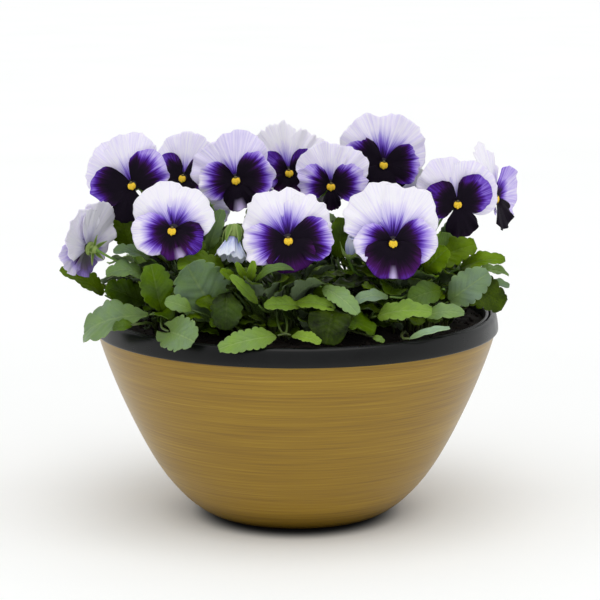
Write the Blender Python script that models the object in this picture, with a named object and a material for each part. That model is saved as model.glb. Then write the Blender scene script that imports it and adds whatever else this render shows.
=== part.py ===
"""Potted pansy planter: an ochre lacquered bowl with a black collar and a black inner pot, filled
with potting soil and planted with five pansy plants in flower.

Metres, +Z up, front towards -Y. The origin is the centre of the flat base, on the surface it
stands on. Lengths below are in millimetres and are scaled once, when a mesh is made.
"""

import math

import bmesh
import bpy
from mathutils import Vector, noise
from mathutils.bvhtree import BVHTree

# ---------------------------------------------------------------- driving sizes, millimetres
MM = 0.001
TURNS = 48              # steps round every turned piece
GAP = 0.25              # room kept round each grown piece, so that two never touch

BASE_R = 64.0           # flat foot of the bowl
BOWL_TOP_R = 159.9      # outside of the bowl under the collar
BOWL_TOP_Z = 155.0
COLLAR_R = 162.3        # widest point, at the collar's lower lip
COLLAR_LOW_Z = 149.7
COLLAR_TOP_Z = 164.4
LINER_LIP_R = 154.7
LINER_LIP_Z = 163.9
SOIL_EDGE_R = 150.0
SOIL_EDGE_Z = 156.0     # soil level at the wall
SOIL_RISE = 5.0         # how far the soil heaps up towards the middle

SHEET = 0.8             # thickness of a petal or leaf in this build
PETIOLE_R = 1.0         # leaf stalk
PEDUNCLE_R = 1.15       # flower stalk
STALK_FOOT = 1.5        # how much thicker a stalk is at the crown
CALYX_R = 2.9
CALYX_LENGTH = 7.0
CALYX_BACK = 5.2        # from the eye back to the front of the calyx
BUD_NECK_R = 3.1
BUD_NECK_LENGTH = 2.0
CROWN = [(2.6, 8), (6, 9), (11, 7.5), (17, 5.5), (21, 3.0)]     # (height above the soil, radius)
STALKS_LEAVE_AT = 13.0  # height above the soil where the stalks part

# ---------------------------------------------------------------- profiles, (radius, height)
BOWL = [
    (0, 0), (BASE_R, 0), (70, 0.9), (76, 3.2), (83.5, 8), (92, 15.2), (102, 26), (112.5, 40),
    (123.8, 60), (133.5, 80), (142.6, 100), (151.6, 123), (158.4, 143), (BOWL_TOP_R, 150),
    (BOWL_TOP_R, BOWL_TOP_Z - 0.6), (159.3, BOWL_TOP_Z), (156.4, BOWL_TOP_Z),
    (155.8, BOWL_TOP_Z - 0.6), (155.4, 147), (148.6, 125), (129.3, 80),
    (108.1, 40), (86, 16), (66, 6.2), (0, 5.6),
]
COLLAR = [
    (COLLAR_R, 151.4), (162.1, 150.3), (161.3, COLLAR_LOW_Z), (160.5, 150.0), (160.3, 155.4),
    (155.3, 155.4), (155.2, 161.2), (155.6, 163.2), (156.9, COLLAR_TOP_Z), (158.6, 164.3),
    (160.2, 163.1), (161.0, 161.0), (161.8, 156.2),
]
LINER = [
    (LINER_LIP_R, 158.2), (LINER_LIP_R, 162.7), (154.2, 163.6), (153.2, LINER_LIP_Z),
    (152.2, 163.6), (151.7, 162.7), (151.5, 158), (150.4, 147), (143.6, 125), (124.4, 80),
    (103.4, 40), (81.4, 16.9), (62.5, 8.0), (0, 7.8), (0, 6.0), (63.5, 6.6), (83.4, 15.9),
    (105.2, 39.4), (126.2, 79), (145.4, 124.5), (152.9, 147), (153.7, 157),
]
SOIL_UNDER = [
    (0, 8.3), (62.0, 8.5), (80.8, 17.3), (102.8, 40.3), (123.8, 80.3), (143.0, 125.2),
    (149.9, 147.2), (150.9, SOIL_EDGE_Z),
]
SOIL_RINGS = [146, 136, 122, 105, 85, 63, 40, 18, 0]

# ---------------------------------------------------------------- the five plants
# Where each plant's crown stands in the soil, (x, y).
CROWNS = {
    "plant_left": (-92, -48),
    "plant_front": (-14, -84),
    "plant_right": (88, -46),
    "plant_back_left": (-52, 58),
    "plant_back_right": (56, 62),
}

# name: (eye of the flower, turn to the right, look up, lean to the left, width, plant)
# Turn 0 faces the front. Angles are in degrees.
BLOOMS = {
    "bloom_left_high": ((-128, -45, 271), -16, 4, 15, 70, "plant_left"),
    "bloom_left_behind": ((-91, 8, 270), -32, 10, -4, 60, "plant_back_left"),
    "bloom_left_front": ((-94, -95, 243), -16, 12, -3, 64, "plant_left"),
    "bloom_centre_left": ((-47, -45, 275), -8, 10, 8, 61, "plant_front"),
    "bloom_centre_behind": ((-6, 10, 274), 6, 10, 5, 56, "plant_back_left"),
    "bloom_centre_right": ((27, -35, 269), 2, 6, -3, 57, "plant_front"),
    "bloom_front": ((-6, -105, 237), 0, 14, 3, 64, "plant_front"),
    "bloom_top": ((69, -10, 283), 12, 8, -8, 68, "plant_right"),
    "bloom_right_front": ((73, -105, 235), 4, 10, -2, 69, "plant_right"),
    "bloom_right": ((125, -50, 257), 16, 5, -2, 66, "plant_right"),
    "bloom_far_right": ((160, 4, 254), 64, 2, 3, 60, "plant_back_right"),
    "bloom_far_left": ((-163, -65, 225), -121, 7, -10, 60, "plant_left"),
    "bloom_back_left": ((-84, 92, 236), 198, 8, 4, 62, "plant_back_left"),
    "bloom_back": ((8, 112, 252), 176, 6, -5, 66, "plant_back_right"),
    "bloom_back_right": ((96, 82, 238), 140, 8, 6, 62, "plant_back_right"),
}

# name: (tip that hangs lowest, direction it points, length, width, plant)
BUDS = {
    "bud_nodding": ((-50, -95, 221), (-0.12, -0.4, -0.9), 20, 18, "plant_front"),
    "bud_pale": ((43, -84, 236), (0.15, -0.35, 0.92), 17, 9, "plant_right"),
    "bud_back": ((-30, 106, 222), (0.1, 0.55, 0.8), 18, 10, "plant_back_left"),
}

# For each plant, name: (blade's base, blade's tip, side its upper face turns to, width, arch, fold)
# Arch lifts the middle of the midrib and fold lifts the margins, both as a share of the blade.
LEAVES = {
    "plant_left": {
        "leaf_far_left": ((-151, -48, 185), (-184, -50, 206), (0.35, -0.6, 0.75), 19, 0.08, 0.2),
        "leaf_left_strip": ((-113, -72, 217), (-140, -78, 225), (0.1, -0.3, 0.95), 20, 0.1, 0.2),
        "leaf_left_arched": ((-116, -82, 204), (-145, -90, 209), (0, -0.45, 0.9), 22, 0.22, 0.1),
        "leaf_left_shaded": ((-117, -75, 184), (-146, -80, 197), (-0.1, -0.8, 0.6), 24, 0.05, 0.15),
        "leaf_left_upright": ((-102, -105, 182), (-109, -112, 219), (0.15, -0.95, 0.2), 26, 0.06, 0.2),
        "leaf_left_over_rim": ((-112, -108, 180), (-165, -80, 161), (-0.15, -0.7, 0.7), 35, 0.12, 0.1),
        "leaf_round_over_rim": ((-94, -138, 173), (-76, -151, 169), (-0.1, -0.8, 0.6), 31, 0.14, 0.1),
        "leaf_large_round": ((-60, -110, 182), (-81, -119, 219), (-0.1, -0.8, 0.55), 44, -0.1, 0.1),
        "leaf_left_dark": ((-131, -30, 219), (-137, -34, 247), (0.05, -1, 0.1), 22, 0.06, 0.15),
        "leaf_lance": ((-68, -60, 222), (-57, -64, 254), (-0.2, -0.95, 0.15), 13, 0.06, 0.2),
    },
    "plant_front": {
        "leaf_curled_edge": ((-55, -92, 213.5), (-90, -98, 216.5), (0, -0.45, 0.9), 24, 0.1, 0.25),
        "leaf_hanging": ((-52, -117, 199), (-53, -135, 174), (0.1, -0.85, 0.5), 25, 0.12, 0.1),
        "leaf_narrow": ((-29, -121, 191), (-49, -122, 213), (0.25, -0.85, 0.4), 9, 0.06, 0.15),
        "leaf_across_rim": ((-15, -149, 172), (-57, -160, 165), (-0.08, -0.7, 0.7), 25, 0.06, 0.06),
        "leaf_yellow_small": ((-3, -147, 172), (18, -156, 168.5), (0.1, -0.5, 0.85), 12, 0.08, 0.2),
        "leaf_centre_low": ((3, -121, 189), (-24, -126, 191), (0, -0.55, 0.85), 16, 0.08, 0.15),
        "leaf_centre_arching": ((-31, -112, 206), (-2, -111, 216), (-0.1, -0.55, 0.8), 9, 0.26, 0.1),
        "leaf_cupped": ((28, -124, 188), (22, -147, 166), (0, -0.8, 0.6), 33, 0.12, 0.18),
        "leaf_diagonal": ((20, -112, 201.5), (46, -131, 185.5), (0.15, -0.75, 0.65), 17, 0.12, 0.12),
    },
    "plant_right": {
        "leaf_pale_arch": ((69, -116, 195), (43, -122, 193), (0, -0.55, 0.83), 13, 0.16, 0.1),
        "leaf_right_wavy": ((61, -118, 181), (101, -130, 187), (0.05, -0.65, 0.75), 19, 0.1, 0.14),
        "leaf_right_low": ((97, -113, 180), (126, -120, 184), (0.1, -0.6, 0.8), 16, 0.12, 0.12),
        "leaf_right_grey": ((110, -95, 197), (85, -103, 191), (0.1, -0.8, 0.6), 21, 0.08, 0.15),
        "leaf_right_oval": ((117, -88, 187), (146, -94, 210), (0.1, -0.88, 0.45), 27, 0.07, 0.14),
        "leaf_right_high": ((127, -63, 208), (161, -68, 216), (0.05, -0.5, 0.87), 18, 0.12, 0.2),
        "leaf_right_shaded": ((128, -58, 196), (161, -68, 180), (0.25, -0.85, 0.4), 30, 0.1, 0.1),
        "leaf_right_dark": ((102, -61, 211), (138, -67, 228), (-0.05, -0.8, 0.55), 25, 0.08, 0.15),
        "leaf_right_upper": ((98, -78, 209), (115, -84, 227), (0.1, -0.9, 0.4), 20, 0.06, 0.15),
    },
    "plant_back_left": {
        "leaf_back_left": ((-112, 86, 184), (-142, 108, 190), (-0.4, 0.5, 0.8), 28, 0.16, 0.14),
        "leaf_back_low": ((-34, 128, 180), (-38, 164, 172), (0, 0.55, 0.85), 30, 0.16, 0.14),
    },
    "plant_back_right": {
        "leaf_back_middle": ((34, 118, 188), (38, 154, 196), (0, 0.35, 0.93), 28, 0.14, 0.14),
        "leaf_back_right": ((112, 92, 186), (146, 112, 184), (0.4, 0.5, 0.8), 30, 0.16, 0.14),
        "leaf_side_right": ((142, 10, 190), (171, 6, 192), (0.3, -0.2, 0.93), 22, 0.16, 0.14),
    },
}

# ---------------------------------------------------------------- colours, (red, green, blue), roughness
OCHRE_LACQUER = ((0.29, 0.17, 0.028), 0.32)
BLACK_PLASTIC = ((0.018, 0.018, 0.02), 0.38)
POTTING_SOIL = ((0.022, 0.014, 0.009), 0.95)
STALK_GREEN = ((0.16, 0.27, 0.06), 0.5)
LEAF_GREEN = ((0.11, 0.22, 0.05), 0.45)
PETAL_VIOLET = ((0.42, 0.30, 0.72), 0.6)
BUD_PALE = ((0.55, 0.55, 0.82), 0.6)


# ---------------------------------------------------------------- making objects
def material(name, look):
    colour, roughness = look
    made = bpy.data.materials.new(name)
    made.use_nodes = True
    shader = made.node_tree.nodes["Principled BSDF"]
    shader.inputs["Base Color"].default_value = (*colour, 1.0)
    shader.inputs["Roughness"].default_value = roughness
    shader.inputs["Metallic"].default_value = 0.0
    made.diffuse_color = (*colour, 1.0)
    return made


def add_object(name, bm, look, smooth=True):
    """Scale a millimetre mesh to metres and put it in the scene with a material of its own."""
    bmesh.ops.scale(bm, vec=(MM, MM, MM), verts=bm.verts)
    for face in bm.faces:
        face.smooth = smooth
    mesh = bpy.data.meshes.new(name)
    bm.to_mesh(mesh)
    bm.free()
    mesh.materials.append(material(name, look))
    obj = bpy.data.objects.new(name, mesh)
    bpy.context.scene.collection.objects.link(obj)
    return obj


def turned(profile, ring=False):
    """Turn a profile round Z. A ring's profile closes on itself, and any other ends on the axis."""
    bm = bmesh.new()
    points = [bm.verts.new((r, 0, z)) for r, z in profile]
    edges = [bm.edges.new(pair) for pair in zip(points[:-1], points[1:])]
    if ring:
        edges.append(bm.edges.new((points[-1], points[0])))
    bmesh.ops.spin(
        bm, geom=points + edges, cent=(0, 0, 0), axis=(0, 0, 1),
        angle=math.tau, steps=TURNS, use_merge=True,
    )
    bmesh.ops.remove_doubles(bm, verts=bm.verts, dist=0.01)
    bmesh.ops.recalc_face_normals(bm, faces=bm.faces)
    return bm


# ---------------------------------------------------------------- keeping grown pieces apart
placed = []


def swollen_tree(bm):
    """Search tree of the mesh with its skin moved out by GAP."""
    bm.normal_update()
    copy = bm.copy()
    for vert in copy.verts:
        vert.co += vert.normal * GAP
    tree = BVHTree.FromBMesh(copy)
    copy.free()
    return tree


def is_clear(tree):
    return not any(tree.overlap(other) for other in placed)


def first_clear(make, shifts):
    """Try a mesh at one small shift after another and keep the first that touches nothing."""
    for shift in shifts:
        bm = make(Vector(shift))
        tree = swollen_tree(bm)
        if is_clear(tree):
            placed.append(tree)
            return bm, Vector(shift)
        bm.free()
    raise RuntimeError("no clear place found")


def small_shifts(step, reach):
    """Shifts ordered from none to far, first towards and away from the front, then up and down."""
    found = []
    for along in range(-reach, reach + 1):
        for up in range(-reach // 2, reach // 2 + 1):
            found.append((0, along * step, up * step * 0.75))
    return sorted(found, key=lambda s: (abs(s[1]) + 1.6 * abs(s[2]), s))


# ---------------------------------------------------------------- grown shapes, millimetres
def sheet(rows, closed_rows, top_up):
    """Closed thin solid over a grid of points. closed_rows joins each row's last point to its first."""
    bm = bmesh.new()
    upper = [[bm.verts.new(point) for point in row] for row in rows]
    span = len(rows[0])
    cells = span if closed_rows else span - 1
    for row in range(len(rows) - 1):
        for i in range(cells):
            j = (i + 1) % span
            bm.faces.new((upper[row][i], upper[row][j], upper[row + 1][j], upper[row + 1][i]))
    if closed_rows:
        bm.faces.new(upper[0])
    bmesh.ops.recalc_face_normals(bm, faces=bm.faces)
    bm.normal_update()
    lean = sum((face.normal * face.calc_area() for face in bm.faces), Vector())
    if lean.dot(top_up) < 0:
        bmesh.ops.reverse_faces(bm, faces=bm.faces)
        bm.normal_update()
    under = {v: bm.verts.new(v.co - v.normal * SHEET) for row in upper for v in row}
    for face in list(bm.faces):
        bm.faces.new([under[v] for v in reversed(face.verts)])
    rim = [edge for edge in bm.edges if len(edge.link_faces) == 1 and edge.verts[0] in under]
    for edge in rim:
        a, b = edge.verts
        bm.faces.new((a, b, under[b], under[a]))
    bmesh.ops.recalc_face_normals(bm, faces=bm.faces)
    return bm


def blade(base, tip, upper_side, width, arch, fold):
    """Egg-shaped leaf blade with a scalloped margin, folded along its midrib."""
    along = tip - base
    length = along.length
    along.normalize()
    up = (upper_side - along * upper_side.dot(along)).normalized()
    across = up.cross(along)
    stations = (0.0, 0.16, 0.38, 0.6, 0.82, 1.0)
    breadths = (0.10, 0.74, 1.0, 0.92, 0.66, 0.14)
    rows = []
    for index, (t, breadth) in enumerate(zip(stations, breadths)):
        scallop = 1.06 if index % 2 else 0.95
        row = []
        for s in (-1, -0.5, 0, 0.5, 1):
            side = s * breadth * width / 2 * (scallop if abs(s) == 1 else 1)
            lift = arch * length * 4 * t * (1 - t) + fold * abs(side) - 0.05 * width * t * t
            row.append(base + along * (t * length) + across * side + up * lift)
        rows.append(row)
    return sheet(rows, False, up)


def facing(turn, look_up, lean):
    """The flower's own axes: right, up and forward."""
    turn, look_up, lean = math.radians(turn), math.radians(look_up), math.radians(lean)
    level = math.cos(look_up)
    forward = Vector((math.sin(turn) * level, -math.cos(turn) * level, math.sin(look_up)))
    right = forward.cross(Vector((0, 0, -1))).normalized()
    up = forward.cross(right)
    tilted_up = up * math.cos(lean) - right * math.sin(lean)
    tilted_right = right * math.cos(lean) + up * math.sin(lean)
    return tilted_right, tilted_up, forward


def petal_reach(angle):
    """How far the five petals reach from the eye, as a share of half the flower's width."""
    lobes = ((62, 36, 1.28), (118, 36, 1.28), (6, 40, 1.0), (174, 40, 1.0), (270, 58, 0.76))
    best = 0.0
    for middle, spread, reach in lobes:
        away = abs((angle - middle + 180) % 360 - 180) / spread
        if away < 1.25:
            best = max(best, reach * (1 - 0.2 * away ** 2.6))
    return max(best, 0.55)


def corolla(eye, axes, width):
    """Five overlapping petals round the eye, as one dished sheet."""
    right, up, forward = axes
    half = width / 2
    rows = []
    for ring in (0.12, 0.6, 1.0):
        row = []
        for step in range(24):
            angle = step * 15.0
            reach = petal_reach(angle) * half * ring
            x = reach * math.cos(math.radians(angle))
            y = reach * math.sin(math.radians(angle))
            back = 4.5 * max(0.0, y / half) ** 1.5 + 3.0 * max(0.0, -y / half) * ring
            dish = 2.4 * (1 - ring) ** 3
            wave = 0.9 * ring * ring * math.sin(math.radians(angle * 5 + 40))
            row.append(eye + right * x + up * y + forward * (wave - back - dish))
        rows.append(row)
    return sheet(rows, True, forward)


def tube(points, radii, sides=5):
    """Round stalk through the points, capped at both ends."""
    bm = bmesh.new()
    rings = []
    across = Vector((1, 0.13, 0.07))
    for i, (point, radius) in enumerate(zip(points, radii)):
        along = (points[min(i + 1, len(points) - 1)] - points[max(i - 1, 0)]).normalized()
        across = (across - along * across.dot(along)).normalized()
        other = along.cross(across)
        ring = []
        for k in range(sides):
            turn = math.tau * k / sides
            ring.append(bm.verts.new(point + (across * math.cos(turn) + other * math.sin(turn)) * radius))
        rings.append(ring)
    for low, high in zip(rings[:-1], rings[1:]):
        for k in range(sides):
            j = (k + 1) % sides
            bm.faces.new((low[k], low[j], high[j], high[k]))
    bm.faces.new(rings[0])
    bm.faces.new(rings[-1])
    bmesh.ops.recalc_face_normals(bm, faces=bm.faces)
    return bm


def curve_points(start, pull_start, pull_end, end, count):
    points = []
    for i in range(count):
        t = i / (count - 1)
        points.append(
            start * (1 - t) ** 3 + pull_start * 3 * t * (1 - t) ** 2
            + pull_end * 3 * t * t * (1 - t) + end * t ** 3
        )
    return points


def egg(centre, pointing, length, width):
    """Closed egg, blunt at the end it points to."""
    pointing = pointing.normalized()
    steps = ((-0.5, 0.3), (-0.3, 0.78), (0.0, 1.0), (0.28, 0.86), (0.5, 0.35))
    points = [centre + pointing * (length * t) for t, _ in steps]
    return tube(points, [width / 2 * r for _, r in steps], 8)


# ---------------------------------------------------------------- the planter
def add_planter():
    for name, profile, is_ring, look in (
        ("planter_bowl", BOWL, False, OCHRE_LACQUER),
        ("rim_collar", COLLAR, True, BLACK_PLASTIC),
        ("inner_pot", LINER, True, BLACK_PLASTIC),
    ):
        bm = turned(profile, is_ring)
        placed.append(swollen_tree(bm))
        add_object(name, bm, look)


def soil_height(x, y):
    away = math.hypot(x, y) / SOIL_EDGE_R
    heap = SOIL_RISE * max(0.0, 1 - away ** 2)
    lumps = 1.5 * noise.noise(Vector((x / 17, y / 17, 3.1)))
    crumbs = 0.9 * noise.noise(Vector((x / 7, y / 7, 8.4)))
    return SOIL_EDGE_Z + heap + (lumps + crumbs) * min(1.0, max(0.0, (1 - away) * 12))


def add_soil():
    top = [(r, SOIL_EDGE_Z + SOIL_RISE * (1 - (r / SOIL_EDGE_R) ** 2)) for r in SOIL_RINGS]
    bm = turned(SOIL_UNDER + top)
    for vert in bm.verts:
        if vert.co.z > SOIL_EDGE_Z - 0.5 and math.hypot(vert.co.x, vert.co.y) < SOIL_EDGE_R:
            vert.co.z = soil_height(vert.co.x, vert.co.y)
    placed.append(swollen_tree(bm))
    add_object("potting_soil", bm, POTTING_SOIL, smooth=False)


# ---------------------------------------------------------------- the plants
stalk_ends = {name: [] for name in CROWNS}


def add_blooms():
    for name, (eye, turn, look_up, lean, width, plant) in BLOOMS.items():
        axes = facing(turn, look_up, lean)
        bm, shift = first_clear(lambda s: corolla(Vector(eye) + s, axes, width), small_shifts(3, 6))
        add_object(name, bm, PETAL_VIOLET)
        stalk_ends[plant].append(("calyx", Vector(eye) + shift - axes[2] * CALYX_BACK, axes[2]))


def add_buds():
    for name, (tip, pointing, length, width, plant) in BUDS.items():
        pointing = Vector(pointing).normalized()
        centre = Vector(tip) - pointing * (length / 2)
        bm, shift = first_clear(lambda s: egg(centre + s, pointing, length, width), small_shifts(2, 8))
        add_object(name, bm, BUD_PALE)
        stalk_ends[plant].append(("bud", centre + shift - pointing * (length / 2 + 0.9), pointing))


def add_leaves(plant, leaves):
    for name, (base, tip, side, width, arch, fold) in leaves.items():
        base, tip, side = Vector(base), Vector(tip), Vector(side)
        bm, shift = first_clear(
            lambda s: blade(base + s, tip + s, side, width, arch, fold), small_shifts(2, 9)
        )
        add_object(name, bm, LEAF_GREEN)
        stalk_ends[plant].append(("blade", base + shift - (tip - base).normalized(), tip - base))


def stalk_routes(kind, start, end, pointing):
    """Likely lines for a stalk, from the plainest to the most bowed."""
    pointing = pointing.normalized()
    room = (end - start).length
    for bow in (0, 6, 12, 18, 26, 34, 44, 56):
        for turn in range(0, 360, 30 if bow else 360):
            aside = Vector((math.cos(math.radians(turn)), math.sin(math.radians(turn)), 0)) * bow
            for reach in (0.22, 0.34, 0.14):
                back = CALYX_LENGTH if kind == "calyx" else BUD_NECK_LENGTH
                neck = end - pointing * back
                pull_end = neck - pointing * (room * reach) + Vector((0, 0, -0.12 * room)) + aside * 0.6
                pull_start = start + Vector((0, 0, 0.38 * room)) + aside
                yield neck, pull_start, pull_end


def stalk(kind, start, end, pointing):
    """Stalk from the crown to a blade, a bud or a flower, led round whatever stands in its way."""
    thick = PETIOLE_R if kind == "blade" else PEDUNCLE_R
    for neck, pull_start, pull_end in stalk_routes(kind, start, end, pointing):
        points = curve_points(start, pull_start, pull_end, neck, 7)
        radii = [thick * STALK_FOOT] + [thick] * 6
        if kind == "blade":
            points.append(end)
            radii.append(thick * 0.8)
        else:
            swell = CALYX_R if kind == "calyx" else BUD_NECK_R
            reach = (end - neck).length
            ahead = pointing.normalized()
            points += [neck + ahead * reach * 0.35, end]
            radii += [swell, swell * 0.9]
        bm = tube(points, radii)
        probe = tube(points[2:], radii[2:])
        tree = swollen_tree(probe)
        probe.free()
        if is_clear(tree):
            return bm, tree
        bm.free()
    raise RuntimeError(f"no way through for a {kind} stalk to {tuple(round(c) for c in end)}")


def add_plant(name, crown):
    """Crown and every stalk of one plant, joined into one body."""
    x, y = crown
    foot = Vector((x, y, soil_height(x, y)))
    points = [foot + Vector((0, 0, height)) for height, _ in CROWN]
    crown_mesh = tube(points, [radius for _, radius in CROWN], 10)
    body = add_object(name + "_stems", crown_mesh, STALK_GREEN)
    group = bpy.data.collections.new(name + "_stalks")
    bpy.context.scene.collection.children.link(group)
    grown = []
    for index, (kind, end, pointing) in enumerate(stalk_ends[name]):
        bm, tree = stalk(kind, foot + Vector((0, 0, STALKS_LEAVE_AT)), end, pointing)
        grown.append(tree)
        cutter = add_object(f"{name}_stalk_{index}", bm, STALK_GREEN)
        bpy.context.scene.collection.objects.unlink(cutter)
        group.objects.link(cutter)
        cutter.hide_render = True
        cutter.display_type = "WIRE"
    placed.extend(grown)
    join = body.modifiers.new("stalks", "BOOLEAN")
    join.operation = "UNION"
    join.operand_type = "COLLECTION"
    join.collection = group
    join.solver = "EXACT"


def clear_scene():
    for obj in list(bpy.data.objects):
        bpy.data.objects.remove(obj, do_unlink=True)


clear_scene()
add_planter()
add_soil()
add_blooms()
add_buds()
for plant_name, plant_leaves in LEAVES.items():
    add_leaves(plant_name, plant_leaves)
for plant_name, plant_spot in CROWNS.items():
    add_plant(plant_name, plant_spot)
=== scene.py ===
"""Potted pansy planter: the looks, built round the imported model.

Metres, +Z up, front towards -Y. Lengths in the tables are in millimetres and are scaled once,
when a mesh is made.
"""

import math
import random
from functools import partial
from typing import NamedTuple

import bmesh
import bpy
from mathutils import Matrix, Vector, noise
from mathutils.bvhtree import BVHTree


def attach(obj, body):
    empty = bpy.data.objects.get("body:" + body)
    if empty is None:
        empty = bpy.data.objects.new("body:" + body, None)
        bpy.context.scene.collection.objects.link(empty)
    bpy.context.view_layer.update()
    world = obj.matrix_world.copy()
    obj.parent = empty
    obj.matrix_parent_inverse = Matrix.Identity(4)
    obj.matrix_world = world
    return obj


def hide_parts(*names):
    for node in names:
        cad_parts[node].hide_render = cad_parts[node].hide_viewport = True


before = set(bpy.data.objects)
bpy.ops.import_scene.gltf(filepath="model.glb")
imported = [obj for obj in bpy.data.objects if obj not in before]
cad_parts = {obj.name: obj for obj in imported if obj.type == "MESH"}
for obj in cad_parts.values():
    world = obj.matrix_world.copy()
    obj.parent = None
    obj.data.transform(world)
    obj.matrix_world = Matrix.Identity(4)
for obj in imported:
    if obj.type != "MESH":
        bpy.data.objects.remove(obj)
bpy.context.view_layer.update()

bl_info = {
    "name": "Potted pansy planter",
    "version": (1, 0, 0),
    "blender": (4, 5, 0),
    "location": "3D View > Sidebar > Planter",
    "description": "Builds the looks of a potted pansy planter round its packed model",
    "category": "Object",
}

BODY = "root"
MM = 0.001
SEPAL_THICKNESS = 0.4   # mm

CRUMB_SEED, CLUMP_SEED, BLOOM_SEED = 11, 23, 100
LEAF_SEED, SMALL_LEAF_SEED, INNER_LEAF_SEED, LOW_LEAF_SEED = 300, 500, 700, 1900

# What the camera looks at, m, and the way to the lamp.
AIM_X, AIM_Z = 0.0028, 0.1717
LAMP_WAY = (0.05, -0.28, 0.95)


def linear(code):
    """The linear colour of an sRGB hex value."""
    parts = [int(code[i:i + 2], 16) / 255 for i in (1, 3, 5)]
    return (*(c / 12.92 if c <= 0.04045 else ((c + 0.055) / 1.055) ** 2.4 for c in parts), 1.0)


# ---------------------------------------------------------------- settings a user would change
class PlanterSettings(bpy.types.PropertyGroup):
    turns: bpy.props.IntProperty(
        name="Turning steps", description="Steps round every turned piece, before it is subdivided",
        default=96, min=24, max=256,
    )
    crumbs: bpy.props.IntProperty(
        name="Soil crumbs", description="Loose crumbs of bark and peat on the soil",
        default=900, min=0, max=4000,
    )


class BloomSettings(bpy.types.PropertyGroup):
    petal_thickness: bpy.props.FloatProperty(
        name="Petal thickness", description="Thickness of a petal", default=0.0003,
        min=0.0001, max=0.002, precision=5, unit="LENGTH", subtype="DISTANCE",
    )
    cells_across: bpy.props.IntProperty(
        name="Cells across", description="Mesh cells across each petal", default=30, min=6, max=80,
    )
    cells_along: bpy.props.IntProperty(
        name="Cells along", description="Mesh cells from the eye to a petal's margin",
        default=22, min=6, max=80,
    )


class FoliageSettings(bpy.types.PropertyGroup):
    leaf_thickness: bpy.props.FloatProperty(
        name="Leaf thickness", description="Thickness of a leaf blade", default=0.0004,
        min=0.0001, max=0.002, precision=5, unit="LENGTH", subtype="DISTANCE",
    )
    hidden_leaves: bpy.props.IntProperty(
        name="Inner leaves", description="Leaves that fill each plant behind its outer ones",
        default=95, min=0, max=200,
    )
    low_leaves: bpy.props.IntProperty(
        name="Low leaves", description="Small leaves close over the soil of each plant",
        default=60, min=0, max=200,
    )


class StudioSettings(bpy.types.PropertyGroup):
    distance: bpy.props.FloatProperty(
        name="Camera distance", description="From the camera to the middle of the planter",
        default=1.8, min=0.5, max=10, unit="LENGTH", subtype="DISTANCE",
    )
    elevation: bpy.props.FloatProperty(
        name="Camera elevation", description="Angle of the view below the horizon",
        default=math.radians(10.36), min=0, max=math.pi / 2, unit="ROTATION", subtype="ANGLE",
    )
    lens: bpy.props.FloatProperty(
        name="Lens", description="Focal length on a 36 mm sensor", default=134.2, min=20, max=300,
        unit="CAMERA",
    )
    overhead: bpy.props.FloatProperty(
        name="Overhead light", description="Strength of the broad soft light above the planter",
        default=0.85, min=0, max=20,
    )


SETTINGS = {
    "planter_settings": PlanterSettings,
    "bloom_settings": BloomSettings,
    "foliage_settings": FoliageSettings,
    "studio_settings": StudioSettings,
}

# ---------------------------------------------------------------- turned profiles, (radius, height)
BOWL = [
    (0, 0), (62, 0), (64, 0.02), (70, 0.9), (76, 3.2), (83.5, 8), (92, 15.2), (102, 26),
    (112.5, 40), (123.8, 60), (133.5, 80), (142.6, 100), (151.6, 123), (158.4, 143), (159.9, 150),
    (159.9, 154.4), (159.3, 155), (156.4, 155), (155.8, 154.4), (155.4, 147), (148.6, 125),
    (129.3, 80), (108.1, 40), (86, 16), (66, 6.2), (0, 5.6),
]
COLLAR = [
    (162.3, 151.4), (162.1, 150.3), (161.3, 149.7), (160.5, 150.0), (160.3, 150.8), (160.3, 154.9),
    (160.0, 155.4), (155.8, 155.4), (155.3, 155.8), (155.2, 161.2), (155.6, 163.2), (156.9, 164.4),
    (158.6, 164.3), (160.2, 163.1), (161.0, 161.0), (161.8, 156.2),
]
LINER = [
    (154.7, 158.2), (154.7, 162.7), (154.2, 163.6), (153.2, 163.9), (152.2, 163.6), (151.7, 162.7),
    (151.5, 158), (150.4, 147), (143.6, 125), (124.4, 80), (103.4, 40), (81.4, 16.9), (62.5, 8.0),
    (0, 7.8), (0, 6.0), (63.5, 6.6), (83.4, 15.9), (105.2, 39.4), (126.2, 79), (145.4, 124.5),
    (152.9, 147), (153.7, 157),
]
SOIL_UNDER = [
    (0, 8.3), (62.0, 8.5), (80.8, 17.3), (102.8, 40.3), (123.8, 80.3), (143.0, 125.2),
    (149.9, 147.2), (150.9, 156.0),
]
SOIL_EDGE_R = 150.0
SOIL_EDGE_Z = 156.0
SOIL_RISE = 5.0
SOIL_STEP = 2.5         # from each ring of its surface to the next
CRUMB_REACH = 0.985     # crumbs stay clear of the wall, share of the soil's radius

# Stalks are in the leaves' shade up to a height and lit fully above the next stretch, m.
SHADE_TOP, SHADE_FADE = 0.17, 0.06

# ---------------------------------------------------------------- the five plants
# Where each plant's crown stands in the soil, (x, y).
CROWNS = {
    "plant_left": (-92, -48),
    "plant_front": (-14, -84),
    "plant_right": (88, -46),
    "plant_back_left": (-52, 58),
    "plant_back_right": (56, 62),
}


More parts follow.
